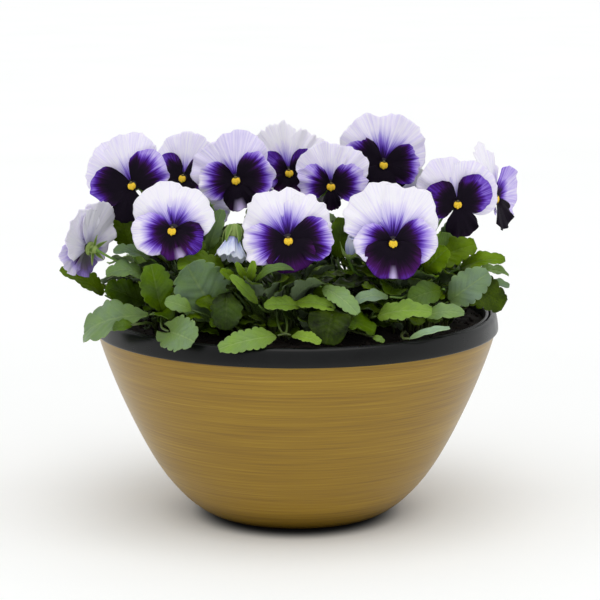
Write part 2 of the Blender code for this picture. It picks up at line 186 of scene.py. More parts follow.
class Petal(NamedTuple):
    """One petal, in its flower's own plane. Angles are in degrees from the flower's right."""
    angle: float
    spread: float           # half its opening, less than 0 if it is drawn from its upper side
    reach: float            # as a share of half the flower's width
    fullness: float         # low is broad shouldered, high is round
    forward: float          # its base, mm towards the viewer
    lean: float             # its tip, mm towards the viewer
    cup: float              # its sides, mm towards the viewer
    dark: float             # where the dark blotch ends, share of the way out
    rim: float              # palest the margin gets, 0 black to 1 white
    curl: float = 0.0       # how far the outer part rolls towards the viewer, radians
    tongue: float = 0.0     # breadth of the pale patch at the middle of the margin, 0 for none
    notch: float = 0.0      # dent at the middle of the margin, share of the reach
    ruffle: float = 0.04    # unevenness of the outline, share of the reach


PLAIN = (0.5, 0.5, 0.5, 0)      # tone of a part whose finish takes no notice of it

PETALS = {
    "upper_left": Petal(122, 70, 1.25, 0.26, -2.8, -4.2, -1.2, 0.04, 0.9),
    "upper_right": Petal(56, 70, 1.25, 0.26, -1.8, -4.2, -1.2, 0.04, 0.9),
    "side_left": Petal(184, -62, 1.0, 0.36, 0.4, -0.6, -1.4, 0.66, 0.86),
    "side_right": Petal(-2, 62, 1.0, 0.36, 0.4, -0.6, -1.4, 0.66, 0.86),
    "lower": Petal(270, 72, 0.78, 0.28, 1.3, -2.0, -1.2, 0.8, 0.5),
}


class Bloom(NamedTuple):
    """One flower: its eye, how it turns right, looks up and leans left (degrees), and its width."""
    eye: tuple
    turn: float
    look_up: float
    lean: float
    width: float
    frill: float            # height of the margins' waves, mm
    changes: dict           # what sets its petals apart from the common ones


BLOOMS = {
    "bloom_left_high": Bloom((-128, -45, 271), -16, 4, 15, 70, 1.4, dict(
        upper_left=dict(angle=138, spread=62, reach=1.2),
        upper_right=dict(angle=82, spread=56, reach=1.18, notch=0.05),
        side_left=dict(angle=172, spread=-54, reach=0.96, dark=0.72, rim=0.56, curl=0.45),
        side_right=dict(angle=23, spread=64, reach=0.96, dark=0.6, rim=0.8),
        lower=dict(angle=245, spread=46, reach=0.9, dark=1.4, ruffle=0.08),
    )),
    "bloom_left_behind": Bloom((-91, 8, 270), -32, 10, -4, 60, 1.2, dict(
        upper_left=dict(angle=132), upper_right=dict(angle=84, reach=1.22),
        side_left=dict(dark=0.6, rim=0.56, angle=172),
        side_right=dict(dark=0.54, rim=0.56, angle=18),
        lower=dict(dark=0.9, rim=0.45),
    )),
    "bloom_left_front": Bloom((-94, -95, 243), -16, 12, -3, 64, 1.0, dict(
        upper_left=dict(angle=128, spread=68, reach=1.26, dark=0.12, rim=1.0),
        upper_right=dict(angle=52, spread=64, reach=1.1, dark=0.2, rim=1.0),
        side_left=dict(angle=196, reach=1.0, dark=0.4, rim=1.0),
        side_right=dict(angle=-20, spread=58, reach=0.82, dark=0.62, rim=0.44),
        lower=dict(angle=294, spread=74, reach=0.73, dark=0.62, rim=0.46, tongue=1.1, notch=0.06),
    )),
    "bloom_centre_left": Bloom((-47, -45, 275), -8, 10, 8, 61, 2.0, dict(
        upper_left=dict(angle=142, spread=52, reach=1.26, dark=0.12, rim=0.84),
        upper_right=dict(angle=79, spread=64, reach=1.28, dark=0.12, rim=0.8),
        side_left=dict(angle=177, spread=-60, reach=1.0, dark=0.52, rim=0.95),
        side_right=dict(angle=6, spread=74, reach=1.0, dark=0.6, rim=0.9, ruffle=0.06),
        lower=dict(angle=272, spread=54, reach=0.8, dark=1.0, tongue=1.5),
    )),
    "bloom_centre_behind": Bloom((-6, 10, 274), 6, 10, 5, 56, 1.8, dict(
        upper_left=dict(angle=105, spread=42, reach=1.5, dark=0.06, rim=1.0, ruffle=0.08),
        upper_right=dict(angle=47, spread=40, reach=1.42, dark=0.06, rim=1.0, ruffle=0.09),
        side_left=dict(angle=166, dark=0.36, rim=0.6),
        side_right=dict(angle=14, dark=0.4, rim=0.6),
        lower=dict(dark=0.7, rim=0.5),
    )),
    "bloom_centre_right": Bloom((27, -35, 269), 2, 6, -3, 57, 1.8, dict(
        upper_left=dict(angle=115, spread=66, reach=1.2, forward=-1.8),
        upper_right=dict(angle=50, spread=50, reach=1.24, forward=-2.8),
        side_left=dict(angle=171, spread=-60, reach=0.94, dark=0.44, rim=0.84, ruffle=0.08),
        side_right=dict(angle=15, spread=66, reach=0.94, dark=0.52, rim=0.84, ruffle=0.07),
        lower=dict(angle=276, spread=36, reach=0.7, dark=1.0),
    )),
    "bloom_front": Bloom((-6, -105, 237), 0, 14, 3, 64, 2.2, dict(
        upper_left=dict(angle=112, spread=70, reach=1.28, dark=0.2, rim=1.0, ruffle=0.08),
        upper_right=dict(angle=48, spread=56, reach=1.22, dark=0.24, rim=1.0, ruffle=0.06),
        side_left=dict(angle=188, spread=-52, reach=1.12, dark=0.44, rim=1.0),
        side_right=dict(angle=0, spread=60, reach=1.06, dark=0.68, rim=0.96),
        lower=dict(angle=273, spread=92, reach=0.8, fullness=0.22, dark=0.72, rim=0.42),
    )),
    "bloom_top": Bloom((69, -10, 283), 12, 8, -8, 68, 1.9, dict(
        upper_left=dict(angle=126, spread=62, reach=1.2, dark=0.2, rim=0.9),
        upper_right=dict(angle=54, spread=68, reach=1.2, dark=0.22, rim=0.88, ruffle=0.06),
        side_left=dict(angle=168, spread=-56, reach=0.9, dark=0.74, rim=0.78, ruffle=0.07),
        side_right=dict(angle=4, spread=60, reach=0.9, dark=0.7, rim=0.8, ruffle=0.07),
        lower=dict(angle=273, spread=78, reach=0.84, dark=1.4),
    )),
    "bloom_right_front": Bloom((73, -105, 235), 4, 10, -2, 69, 1.2, dict(
        upper_left=dict(angle=117, spread=64, reach=1.36, dark=0.17, rim=1.0, ruffle=0.05),
        upper_right=dict(angle=66, spread=62, reach=1.3, dark=0.18, rim=1.0, ruffle=0.06),
        side_left=dict(angle=184, spread=-64, reach=0.84, dark=0.46, rim=0.92),
        side_right=dict(angle=4, spread=58, reach=0.98, dark=0.5, rim=0.96),
        lower=dict(
            angle=271, spread=98, reach=0.84, forward=2.6, fullness=0.3, dark=0.7, rim=0.56,
            tongue=0.6, notch=0.08,
        ),
    )),
    "bloom_right": Bloom((125, -50, 257), 16, 5, -2, 66, 1.3, dict(
        upper_left=dict(angle=122, spread=64, reach=1.16),
        upper_right=dict(angle=40, spread=70, reach=1.16),
        side_left=dict(angle=166, spread=-68, reach=0.82, dark=0.62, rim=0.42, ruffle=0.07),
        side_right=dict(angle=28, spread=62, reach=0.92, dark=0.6, rim=0.56),
        lower=dict(angle=284, spread=46, reach=0.84, fullness=0.2, dark=1.1, notch=0.05),
    )),
    "bloom_far_right": Bloom((160, 4, 254), 64, 2, 3, 60, 1.8, dict(
        upper_left=dict(angle=97, spread=32, reach=1.5, lean=-9, rim=1.0),
        upper_right=dict(angle=74, spread=34, reach=1.25, lean=-6, rim=0.97),
        side_left=dict(angle=178, spread=-56, reach=0.8, lean=6, dark=0.4, rim=0.8),
        side_right=dict(angle=8, spread=74, reach=1.15, dark=0.26, rim=0.84, lean=5),
        lower=dict(angle=284, forward=2.6, dark=1.3, spread=62, reach=0.9, lean=3),
    )),
    "bloom_far_left": Bloom((-163, -65, 225), -121, 7, -10, 60, 2.2, dict(
        side_left=dict(dark=0.4, rim=0.9), side_right=dict(dark=0.4, rim=0.9),
        lower=dict(dark=0.5, rim=0.7),
    )),
    "bloom_back_left": Bloom((-84, 92, 236), 198, 8, 4, 62, 1.6, dict(
        upper_left=dict(dark=0.26, rim=1.0), upper_right=dict(dark=0.26, rim=1.0),
        side_left=dict(dark=0.55, rim=0.95), side_right=dict(dark=0.6, rim=0.95),
        lower=dict(spread=84, tongue=0.8),
    )),
    "bloom_back": Bloom((8, 112, 252), 176, 6, -5, 66, 1.8, dict(
        side_left=dict(dark=0.72, rim=0.82, ruffle=0.07),
        side_right=dict(dark=0.7, rim=0.82), lower=dict(dark=1.0, tongue=0.8),
    )),
    "bloom_back_right": Bloom((96, 82, 238), 140, 8, 6, 62, 1.5, dict(
        upper_left=dict(dark=0.3, rim=1.0), upper_right=dict(dark=0.3, rim=1.0),
        side_left=dict(dark=0.5, rim=0.96), side_right=dict(dark=0.52, rim=0.96),
        lower=dict(spread=86, dark=0.66, tongue=1.0, notch=0.06),
    )),
}


class Leaf(NamedTuple):
    """One blade. Hue runs from blue-grey green to yellow green, and light, its painted light and
    shade, from dark to pale.
    """
    base: tuple
    tip: tuple
    side: tuple             # the way its upper face turns
    width: float
    arch: float             # lift of the middle of the midrib, share of the length
    fold: float             # lift of the margins, share of the half width
    hue: float
    light: float
    belly: float = 0.85     # under 1 is widest near the base, over 1 near the tip
    teeth: int = 6          # rounded teeth down each side
    ears: float = 0.0       # how far the base's lobes hang back, share of the length
    wave: float = 0.05      # height of the margin's waves, share of the width
    twist: float = 0.0      # turn from base to tip, degrees


LEAVES = {
    "leaf_far_left": Leaf(
        (-151, -48, 185), (-184, -50, 206), (0.35, -0.6, 0.75), 19, 0.08, 0.3, 0.95, 0.36, 0.8, 7),
    "leaf_left_strip": Leaf(
        (-113, -72, 217), (-140, -78, 225), (0.1, -0.3, 0.95), 20, 0.1, 0.2, 0.2, 0.6),
    "leaf_left_arched": Leaf(
        (-116, -82, 204), (-145, -90, 209), (0, -0.45, 0.9), 22, 0.22, 0.1, 0.3, 0.68, 1.0, 5),
    "leaf_left_shaded": Leaf(
        (-117, -75, 184), (-146, -80, 197), (-0.1, -0.8, 0.6), 24, 0.05, 0.15, 0.6, 0.26, 0.85, 5),
    "leaf_left_upright": Leaf(
        (-102, -105, 182), (-109, -112, 219), (0.15, -0.95, 0.2), 26, 0.06, 0.2, 0.6, 0.42, 1.15),
    "leaf_left_over_rim": Leaf(
        (-112, -108, 180), (-165, -80, 161), (-0.15, -0.7, 0.7), 35, 0.12, 0.1, 0.3, 0.85, 1.4, 6),
    "leaf_round_over_rim": Leaf(
        (-94, -138, 173), (-76, -151, 169), (-0.05, -0.8, 0.6), 31, 0.06, 0.1, 0.3, 0.85, 0.8, 7,
        ears=0.4),
    "leaf_large_round": Leaf(
        (-60, -110, 182), (-81, -119, 219), (-0.1, -0.8, 0.55), 44, -0.1, 0.1, 0.2, 0.62, 0.9, 7,
        ears=0.15),
    "leaf_curled_edge": Leaf(
        (-55, -92, 213.5), (-90, -98, 216.5), (0, -0.45, 0.9), 24, 0.1, 0.25, 0.85, 0.62),
    "leaf_hanging": Leaf(
        (-52, -117, 199), (-53, -135, 174), (0.1, -0.85, 0.5), 25, 0.12, 0.1, 0.45, 0.13, 1.1, 5),
    "leaf_narrow": Leaf(
        (-29, -121, 191), (-49, -122, 213), (0.25, -0.85, 0.4), 9, 0.06, 0.15, 0.75, 0.75, 0.9, 5),
    "leaf_across_rim": Leaf(
        (-15, -149, 172), (-57, -160, 165), (-0.08, -0.7, 0.7), 20.5, 0.06, 0.06, 0.6, 0.95, 0.85,
        teeth=8),
    "leaf_yellow_small": Leaf(
        (-3, -147, 172), (18, -156, 168.5), (0.1, -0.5, 0.85), 12, 0.08, 0.2, 1.1, 0.9, 0.9, 7),
    "leaf_centre_low": Leaf(
        (3, -121, 189), (-24, -126, 191), (0, -0.55, 0.85), 16, 0.08, 0.15, 0.8, 0.8, 0.9, 6),
    "leaf_centre_arching": Leaf(
        (-31, -112, 206), (-2, -111, 216), (-0.1, -0.55, 0.8), 9, 0.26, 0.1, 0.4, 0.55, 0.9, 3),
    "leaf_cupped": Leaf(
        (28, -124, 188), (22, -147, 166), (0, -0.8, 0.6), 33, 0.12, 0.18, 0.75, 0.13, 1.0, 1),
    "leaf_diagonal": Leaf(
        (20, -112, 201.5), (46, -131, 185.5), (0.15, -0.75, 0.65), 17, 0.12, 0.12, 0.35, 0.98, 0.9,
        teeth=7),
    "leaf_pale_arch": Leaf(
        (69, -116, 195), (43, -122, 193), (0, -0.55, 0.83), 13, 0.16, 0.1, 0.1, 0.85, 0.9, 2),
    "leaf_right_wavy": Leaf(
        (61, -118, 181), (101, -130, 187), (0.05, -0.65, 0.75), 19, 0.1, 0.14, 0.75, 0.95, 0.8, 7,
        wave=0.09),
    "leaf_right_low": Leaf(
        (97, -113, 180), (126, -120, 184), (0.1, -0.6, 0.8), 16, 0.12, 0.12, 0.4, 0.95, 0.9, 4),
    "leaf_right_grey": Leaf(
        (110, -95, 197), (85, -103, 191), (0.1, -0.8, 0.6), 21, 0.08, 0.15, 0.45, 0.46, 0.9, 3),
    "leaf_right_oval": Leaf(
        (117, -88, 187), (146, -94, 210), (0.1, -0.88, 0.45), 27, 0.07, 0.14, 0.15, 0.84, 0.9),
    "leaf_right_high": Leaf(
        (127, -63, 208), (161, -68, 216), (0.05, -0.5, 0.87), 18, 0.12, 0.2, 0.95, 0.55),
    "leaf_right_shaded": Leaf(
        (128, -58, 196), (161, -68, 180), (0.25, -0.85, 0.4), 30, 0.1, 0.1, 0.95, 0.14),
    "leaf_right_dark": Leaf(
        (102, -61, 211), (138, -67, 228), (-0.05, -0.8, 0.55), 25, 0.08, 0.15, 1.0, 0.42),
    "leaf_right_upper": Leaf(
        (98, -78, 209), (115, -84, 227), (0.1, -0.9, 0.4), 20, 0.06, 0.15, 0.9, 0.5),
    "leaf_left_dark": Leaf(
        (-131, -30, 219), (-137, -34, 247), (0.05, -1, 0.1), 22, 0.06, 0.15, 0.9, 0.3),
    "leaf_lance": Leaf(
        (-68, -60, 222), (-57, -64, 254), (-0.2, -0.95, 0.15), 13, 0.06, 0.2, 0.35, 0.85, 1.0, 5),
    "leaf_back_left": Leaf(
        (-112, 86, 184), (-142, 108, 190), (-0.4, 0.5, 0.8), 28, 0.16, 0.14, 0.4, 0.7),
    "leaf_back_low": Leaf(
        (-34, 128, 180), (-38, 164, 172), (0, 0.55, 0.85), 30, 0.16, 0.14, 0.6, 0.8, 0.9),
    "leaf_back_middle": Leaf(
        (34, 118, 188), (38, 154, 196), (0, 0.35, 0.93), 28, 0.14, 0.14, 0.3, 0.7),
    "leaf_back_right": Leaf(
        (112, 92, 186), (146, 112, 184), (0.4, 0.5, 0.8), 30, 0.16, 0.14, 0.7, 0.7),
    "leaf_side_right": Leaf(
        (142, 10, 190), (171, 6, 192), (0.3, -0.2, 0.93), 22, 0.16, 0.14, 0.5, 0.65),
}

# Leaves too small to stand alone, grown as one piece.
SMALL_LEAVES = [
    Leaf((-78, -122, 186), (-98, -124, 194), (-0.1, -0.7, 0.7), 15, 0.1, 0.15, 0.5, 0.85, 1.2, 4),
    Leaf((147, -40, 192), (167, -44, 191), (0.1, -0.5, 0.85), 10, 0.1, 0.2, 0.2, 0.7, 1.2, 3),
    Leaf((84, -135, 167), (115, -127, 174), (0, -0.6, 0.8), 6.5, 0.08, 0.2, 0.0, 1.3, 0.9, 3),
    Leaf((-2, -118, 190), (29, -125, 188), (0.05, -0.55, 0.85), 15, 0.14, 0.12, 0.9, 0.8, 0.9, 6),
    Leaf((-124, -112, 173), (-139, -112, 171), (-0.1, -0.6, 0.8), 12, 0.1, 0.1, 0.5, 0.4, 0.9, 3),
    Leaf((118, -20, 221), (132, -24, 238), (0, -0.9, 0.4), 22, 0.06, 0.15, 0.2, 0.6, 0.9, 3),
    Leaf((57, -128, 167), (66, -131, 164), (0.1, -0.7, 0.7), 6, 0.1, 0.1, 0.6, 0.8, 0.9, 3),
    Leaf((32, -50, 214), (36, -52, 246), (-0.1, -0.95, 0.2), 21, 0.05, 0.15, 0.6, 0.34, 0.9, 5),
    Leaf((112, -62, 208), (116, -62, 236), (0.1, -0.95, 0.2), 18, 0.05, 0.15, 0.5, 0.5, 0.9, 5),
    Leaf((-37, -104, 206), (-45, -112, 221), (-0.2, -0.9, 0.3), 6, 0.1, 0.3, 1.0, 0.7, 1.0, 4),
    Leaf((-35, -105, 205), (-32, -112, 222), (0, -0.95, 0.2), 7, 0.1, 0.3, 0.95, 0.75, 1.0, 4),
    Leaf((-46, -106, 206), (-57, -113, 215), (-0.2, -0.8, 0.6), 8, 0.1, 0.3, 0.9, 0.6, 1.0, 4),
    Leaf((-34, -36, 234), (-30, -42, 259), (0.1, -0.95, 0.3), 17, 0.06, 0.15, 0.7, 0.6, 0.9, 5),
    Leaf((-43, -62, 208), (-39, -66, 243), (0.1, -0.95, 0.2), 23, 0.06, 0.15, 0.6, 0.22, 0.9, 6),
    Leaf((-24, -58, 208), (-25, -62, 238), (-0.1, -0.95, 0.2), 20, 0.06, 0.15, 0.4, 0.26, 0.9, 6),
    Leaf((126, 38, 184), (156, 50, 189), (0.4, 0.1, 0.9), 24, 0.16, 0.12, 0.5, 0.75, 0.9, 6),
    Leaf((74, 104, 186), (96, 132, 193), (0.2, 0.5, 0.85), 27, 0.14, 0.12, 0.3, 0.8, 0.95, 7),
    Leaf((2, 118, 186), (-2, 152, 188), (0, 0.5, 0.87), 25, 0.16, 0.12, 0.7, 0.85, 0.9, 6),
    Leaf((-74, 106, 186), (-96, 134, 182), (-0.3, 0.5, 0.8), 28, 0.16, 0.12, 0.4, 0.75, 0.95, 7),
    Leaf((-124, 54, 188), (-156, 66, 192), (-0.4, 0.2, 0.9), 27, 0.14, 0.12, 0.6, 0.7, 0.9, 6),
    Leaf((-130, 14, 186), (-163, 16, 182), (-0.3, 0, 0.95), 25, 0.18, 0.12, 0.3, 0.8, 0.9, 6),
    Leaf((66, 62, 206), (84, 88, 222), (0.3, 0.7, 0.6), 25, 0.12, 0.14, 0.7, 0.6, 1.0, 6),
    Leaf((-32, 84, 206), (-38, 112, 222), (-0.1, 0.8, 0.6), 26, 0.12, 0.14, 0.5, 0.6, 0.95, 6),
    Leaf((-90, 44, 208), (-116, 58, 222), (-0.6, 0.4, 0.7), 25, 0.12, 0.14, 0.8, 0.55, 0.9, 6),
    Leaf((104, 26, 208), (130, 34, 222), (0.6, 0.2, 0.75), 24, 0.12, 0.14, 0.6, 0.6, 0.9, 6),
    Leaf((24, 36, 176), (31, 40, 206), (1, 0, 0.2), 26, 0.05, 0.12, 0.6, 0.3, 0.95, 6),
    Leaf((24, 82, 206), (30, 108, 225), (0.1, 0.85, 0.5), 24, 0.1, 0.14, 0.8, 0.5, 1.0, 6),
]


# ---------------------------------------------------------------- mesh helpers
grown = []      # search trees of the leaves and flowers already grown, in millimetres


def new_mesh():
    """Empty mesh that carries the pattern's own map and the tone of each grown part."""
    bm = bmesh.new()
    bm.loops.layers.uv.new("UVMap")
    bm.verts.layers.float_color.new("tone")
    return bm


def add_piece(name, bm, finishes, stands_for=(), scale=MM):
    """Scale the mesh to metres, put it in the scene and let it ride on the planter's body."""
    bmesh.ops.scale(bm, vec=(scale, scale, scale), verts=bm.verts)
    mesh = bpy.data.meshes.new(name)
    bm.to_mesh(mesh)
    bm.free()
    for finish in finishes:
        mesh.materials.append(bpy.data.materials[finish])
    piece = bpy.data.objects.new(name, mesh)
    bpy.context.scene.collection.objects.link(piece)
    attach(piece, BODY)
    if stands_for:
        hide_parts(*stands_for)
    return piece


def subdivide(piece):
    smoother = piece.modifiers.new("smoother", "SUBSURF")
    smoother.levels = smoother.render_levels = 1


def turned(profile, ring, turns):
    """Turn a profile round Z. A ring's profile closes on itself, and any other ends on the axis."""
    bm = new_mesh()
    points = [bm.verts.new((r, 0, z)) for r, z in profile]
    edges = [bm.edges.new(pair) for pair in zip(points[:-1], points[1:])]
    if ring:
        edges.append(bm.edges.new((points[-1], points[0])))
    bmesh.ops.spin(
        bm, geom=points + edges, cent=(0, 0, 0), axis=(0, 0, 1),
        angle=math.tau, steps=turns, use_merge=True,
    )
    bmesh.ops.remove_doubles(bm, verts=bm.verts, dist=0.01)
    bmesh.ops.recalc_face_normals(bm, faces=bm.faces)
    for face in bm.faces:
        face.smooth = True
    return bm


def faces_at(verts):
    """The faces that meet at these corners, each once and always in the same order."""
    return list(dict.fromkeys(face for vert in verts for face in vert.link_faces))


def bent_sheet(bm, cells, place, front, thickness, slots, tone):
    """Grid bent by place(across, along) and thickened away from its front.

    Across and along run from 0 to 1. The front and the cut edge take the first slot, and the back
    takes the second.
    """
    painted = bm.verts.layers.float_color["tone"]
    made = bmesh.ops.create_grid(
        bm, x_segments=cells[0], y_segments=cells[1], size=0.5, calc_uvs=True,
    )["verts"]
    for vert in made:
        vert.co = place(vert.co.x + 0.5, vert.co.y + 0.5)
        vert[painted] = tone
    faces = faces_at(made)
    facing_sum = Vector()
    for face in faces:
        face.normal_update()
        facing_sum += face.normal * face.calc_area()
    if facing_sum.dot(front) < 0:
        bmesh.ops.reverse_faces(bm, faces=faces)
    for vert in made:
        vert.normal_update()
    thickened = bmesh.ops.solidify(bm, geom=faces, thickness=thickness)["geom"]
    back = {part for part in thickened if isinstance(part, bmesh.types.BMFace)}
    smooth = {*faces, *back}        # the cut edge between them stays crisp
    for face in {*faces_at(made), *back}:
        face.smooth = face in smooth
        face.material_index = slots[1] if face in back else slots[0]


def ball(bm, centre, axes, radii, slot, tone, steps=2):
    """Rounded lump with its own radius along each of three axes."""
    painted = bm.verts.layers.float_color["tone"]
    made = bmesh.ops.create_icosphere(bm, subdivisions=steps, radius=1.0)["verts"]
    for vert in made:
        x, y, z = vert.co
        vert.co = centre
        for axis, radius, share in zip(axes, radii, (x, y, z)):
            vert.co += axis * (share * radius)
        vert[painted] = tone
    for face in faces_at(made):
        face.smooth = True
        face.material_index = slot


def stalk(bm, points, radii, slot, tone, sides):
    """Round stalk along the points, rolled from a grid and closed at both ends."""
    painted = bm.verts.layers.float_color["tone"]
    frames = []
    across = Vector((1, 0.13, 0.07))
    last = len(points) - 1
    for i, point in enumerate(points):
        along = (points[min(i + 1, last)] - points[max(i - 1, 0)]).normalized()
        across = (across - along * across.dot(along)).normalized()
        frames.append((point, across, along.cross(across), radii[i]))
    made = bmesh.ops.create_grid(bm, x_segments=sides, y_segments=last, size=0.5)["verts"]
    for vert in made:
        point, across, other, radius = frames[round((vert.co.y + 0.5) * last)]
        turn = math.tau * (vert.co.x + 0.5)
        vert.co = point + spoke(across, other, turn) * radius
        vert[painted] = tone
    bmesh.ops.remove_doubles(bm, verts=made, dist=0.0001)
    made = [vert for vert in made if vert.is_valid]
    ends = dict.fromkeys(edge for vert in made for edge in vert.link_edges if edge.is_boundary)
    bmesh.ops.holes_fill(bm, edges=list(ends), sides=0)
    faces = faces_at(made)
    bmesh.ops.recalc_face_normals(bm, faces=faces)
    for face in faces:
        face.smooth = True
        face.material_index = slot


def spoke(first, second, turn):
    """Direction at a turn from the first axis towards the second."""
    return first * math.cos(turn) + second * math.sin(turn)


def eased_curve(start, pull_start, pull_end, end, count):
    points = []
    for i in range(count):
        t = i / (count - 1)
        points.append(
            start * (1 - t) ** 3 + pull_start * 3 * t * (1 - t) ** 2
            + pull_end * 3 * t * t * (1 - t) + end * t ** 3
        )
    return points


# ---------------------------------------------------------------- material helpers
class Amount:
    """Output of a node, which can be used in sums as a number can."""

    def __init__(self, tree, socket):
        self.tree = tree
        self.socket = socket

    def calc(self, operation, *others):
        return node(self.tree, "Math", dict(enumerate((self, *others))), operation=operation)

    def __add__(self, other):
        return self.calc("ADD", other)

    def __sub__(self, other):
        return self.calc("SUBTRACT", other)

    def __mul__(self, other):
        return self.calc("MULTIPLY", other)

    def __truediv__(self, other):
        return self.calc("DIVIDE", other)

    def __abs__(self):
        return self.calc("ABSOLUTE")


def node(tree, kind, feeds=None, stops=(), out=0, **settings):
    """Add one node with its settings, its inputs (numbers or amounts) and its colour stops.

    Out is the output that comes back, by number or name, and None brings them all.
    """
    made = tree.nodes.new("ShaderNode" + kind)
    for setting, value in settings.items():
        setattr(made, setting, value)
    for index, (place, code) in enumerate(stops):
        elements = made.color_ramp.elements
        element = elements[index] if index < 2 else elements.new(place)
        element.position = place
        element.color = linear(code)
    for socket, value in (feeds or {}).items():
        if isinstance(value, Amount):
            tree.links.new(value.socket, made.inputs[socket])
        else:
            made.inputs[socket].default_value = value
    if out is None:
        return [Amount(tree, output) for output in made.outputs]
    return Amount(tree, made.outputs[out])


def remap(value, low, high, new_low, new_high, **settings):
    """Bring an amount from one range into another, and hold it there."""
    feeds = {0: value, 1: low, 2: high, 3: new_low, 4: new_high}
    return node(value.tree, "MapRange", feeds, **settings)


def noisy(vector, scale, detail, roughness=0.5):
    feeds = {"Vector": vector, "Scale": scale, "Detail": detail, "Roughness": roughness}
    return node(vector.tree, "TexNoise", feeds)


def tinted(value, *stops):
    """Colour on a ramp: its lowest stop, its highest and then those between."""
    return node(value.tree, "ValToRGB", {0: value}, stops)


def dimmed(colour, light, saturation=1.0):
    feeds = {"Value": light, "Saturation": saturation, "Color": colour}
    return node(colour.tree, "HueSaturation", feeds)


def washed(colour, code, share):
    """Lay a share of another colour over this one."""
    return node(colour.tree, "Mix", {0: share, 6: colour, 7: linear(code)}, out=2, data_type="RGBA")


def bump(height, strength, depth):
    return node(height.tree, "Bump", {"Strength": strength, "Distance": depth, "Height": height})


def joined(*parts):
    return node(parts[0].tree, "CombineXYZ", dict(enumerate(parts)))


def split(vector):
    return node(vector.tree, "SeparateXYZ", {0: vector}, out=None)


def length_of(vector):
    return node(vector.tree, "VectorMath", {0: vector}, operation="LENGTH", out=1)


def spot_on(tree):
    """Where the shaded spot lies, in metres."""
    return node(tree, "TexCoord", out="Object")


def own_map(tree):
    """How far across and along its own sheet the shaded spot lies, from 0 to 1."""
    return split(node(tree, "UVMap", uv_map="UVMap"))[:2]


def tone_of(tree):
    """The four numbers that each grown part carries."""
    colour, _vector, _factor, alpha = node(tree, "Attribute", attribute_name="tone", out=None)
    return [*node(tree, "SeparateColor", {0: colour}, out=None), alpha]


def new_finish(name):
    """Empty material's node tree."""
    finish = bpy.data.materials.new(name)
    finish.use_nodes = True
    finish.node_tree.nodes.clear()
    return finish.node_tree


def soft(weight, reach, scale):
    """How far light spreads under the skin, in red, green and blue."""
    return {"Subsurface Weight": weight, "Subsurface Radius": reach, "Subsurface Scale": scale}


def close_finish(tree, feeds):
    shader = node(tree, "BsdfPrincipled", feeds)
    node(tree, "OutputMaterial", {"Surface": shader}, out=None)


# ---------------------------------------------------------------- the planter's finishes
def ochre_lacquer():
    """Spun bamboo under a clear lacquer: strips wound round a mould and glued, then lacquered.

    The eye sees fine broken streaks that run round the bowl, on an even ochre with a soft shine.
    """
    tree = new_finish("spun_bamboo_lacquer")
    x, y, z = split(spot_on(tree))
    # Distance up the wall, which leans out by 0.6 for each 0.8 that it rises.
    up_wall = z * 0.8 + length_of(joined(x, y)) * 0.6
    # (waves per metre round the bowl, waves per metre up the wall, strength)
    broad, middling, fine = [
        noisy(joined(x * around, y * around, up_wall * upward), 1.0, 3.0) * strength
        for around, upward, strength in ((5, 60, 0.20), (10, 700, 0.40), (16, 2000, 0.55))
    ]
    # The three strengths add up to 1.15, so an even mix lies at 0.575.
    streaks = broad + middling + fine
    colour = tinted(
        streaks, (0.40, "#7c5b10"), (0.76, "#a98622"), (0.52, "#8d6b11"), (0.61, "#967410"),
    )
    # Painted shade: darker towards the foot, where the bowl overhangs the floor.
    colour = dimmed(colour, remap(z, 0.0, 0.024, 0.4, 0.965))
    close_finish(tree, {
        "Base Color": colour, "Roughness": 0.5, "Normal": bump(streaks, 0.2, 0.0003), "IOR": 1.5,
        "Specular IOR Level": 0.15, "Coat Weight": remap(z, 0.0, 0.04, 0.1, 0.62),
        "Coat Roughness": 0.28, "Coat IOR": 1.45,
    })


def black_plastic():
    """Injection moulded polypropylene, dyed black: satin, with faint scuffs where hands rub it."""
    tree = new_finish("moulded_black_plastic")
    spot = spot_on(tree)
    scuffs = noisy(spot, 38.0, 5.0, 0.65)
    close_finish(tree, {
        "Base Color": tinted(scuffs, (0.35, "#020303"), (0.75, "#090a0b")),
        "Roughness": remap(scuffs, 0.3, 0.7, 0.24, 0.36), "IOR": 1.49, "Specular IOR Level": 0.28,
        "Normal": bump(noisy(spot, 1500.0, 2.0), 0.12, 0.0001),
    })


def potting_soil():
    """Peat and composted bark: dark, matt and crumbly, with paler fibres."""
    tree = new_finish("peat_and_bark")
    spot = spot_on(tree)
    lumps = noisy(spot, 160.0, 6.0, 0.7)
    specks = noisy(spot, 700.0, 2.0)
    close_finish(tree, {
        "Base Color": tinted(lumps * specks, (0.12, "#120c08"), (0.5, "#4e3b2d"), (0.3, "#271a12")),
        "Roughness": 0.95, "Normal": bump(lumps, 0.6, 0.0012),
    })


# ---------------------------------------------------------------- the plants' finishes
UPPER_RAMP = (
    (0.0, "#170a1e"), (1.0, "#f9f5ff"), (0.22, "#281346"), (0.34, "#4a2a98"), (0.46, "#7d62cc"),
    (0.58, "#aa9be3"), (0.70, "#d3caf4"), (0.84, "#e8e0fd"),
)
SIDE_RAMP = (
    (0.0, "#110817"), (1.0, "#f6f0fe"), (0.22, "#210c2b"), (0.32, "#35124e"), (0.44, "#4a1e92"),
    (0.56, "#7854c8"), (0.68, "#a890e6"), (0.84, "#d4c8f7"),
)
LOWER_RAMP = (
    (0.0, "#110817"), (1.0, "#cdbdf0"), (0.20, "#220b29"), (0.34, "#381148"), (0.48, "#471460"),
    (0.62, "#5c2ca0"), (0.80, "#8f76d0"),
)


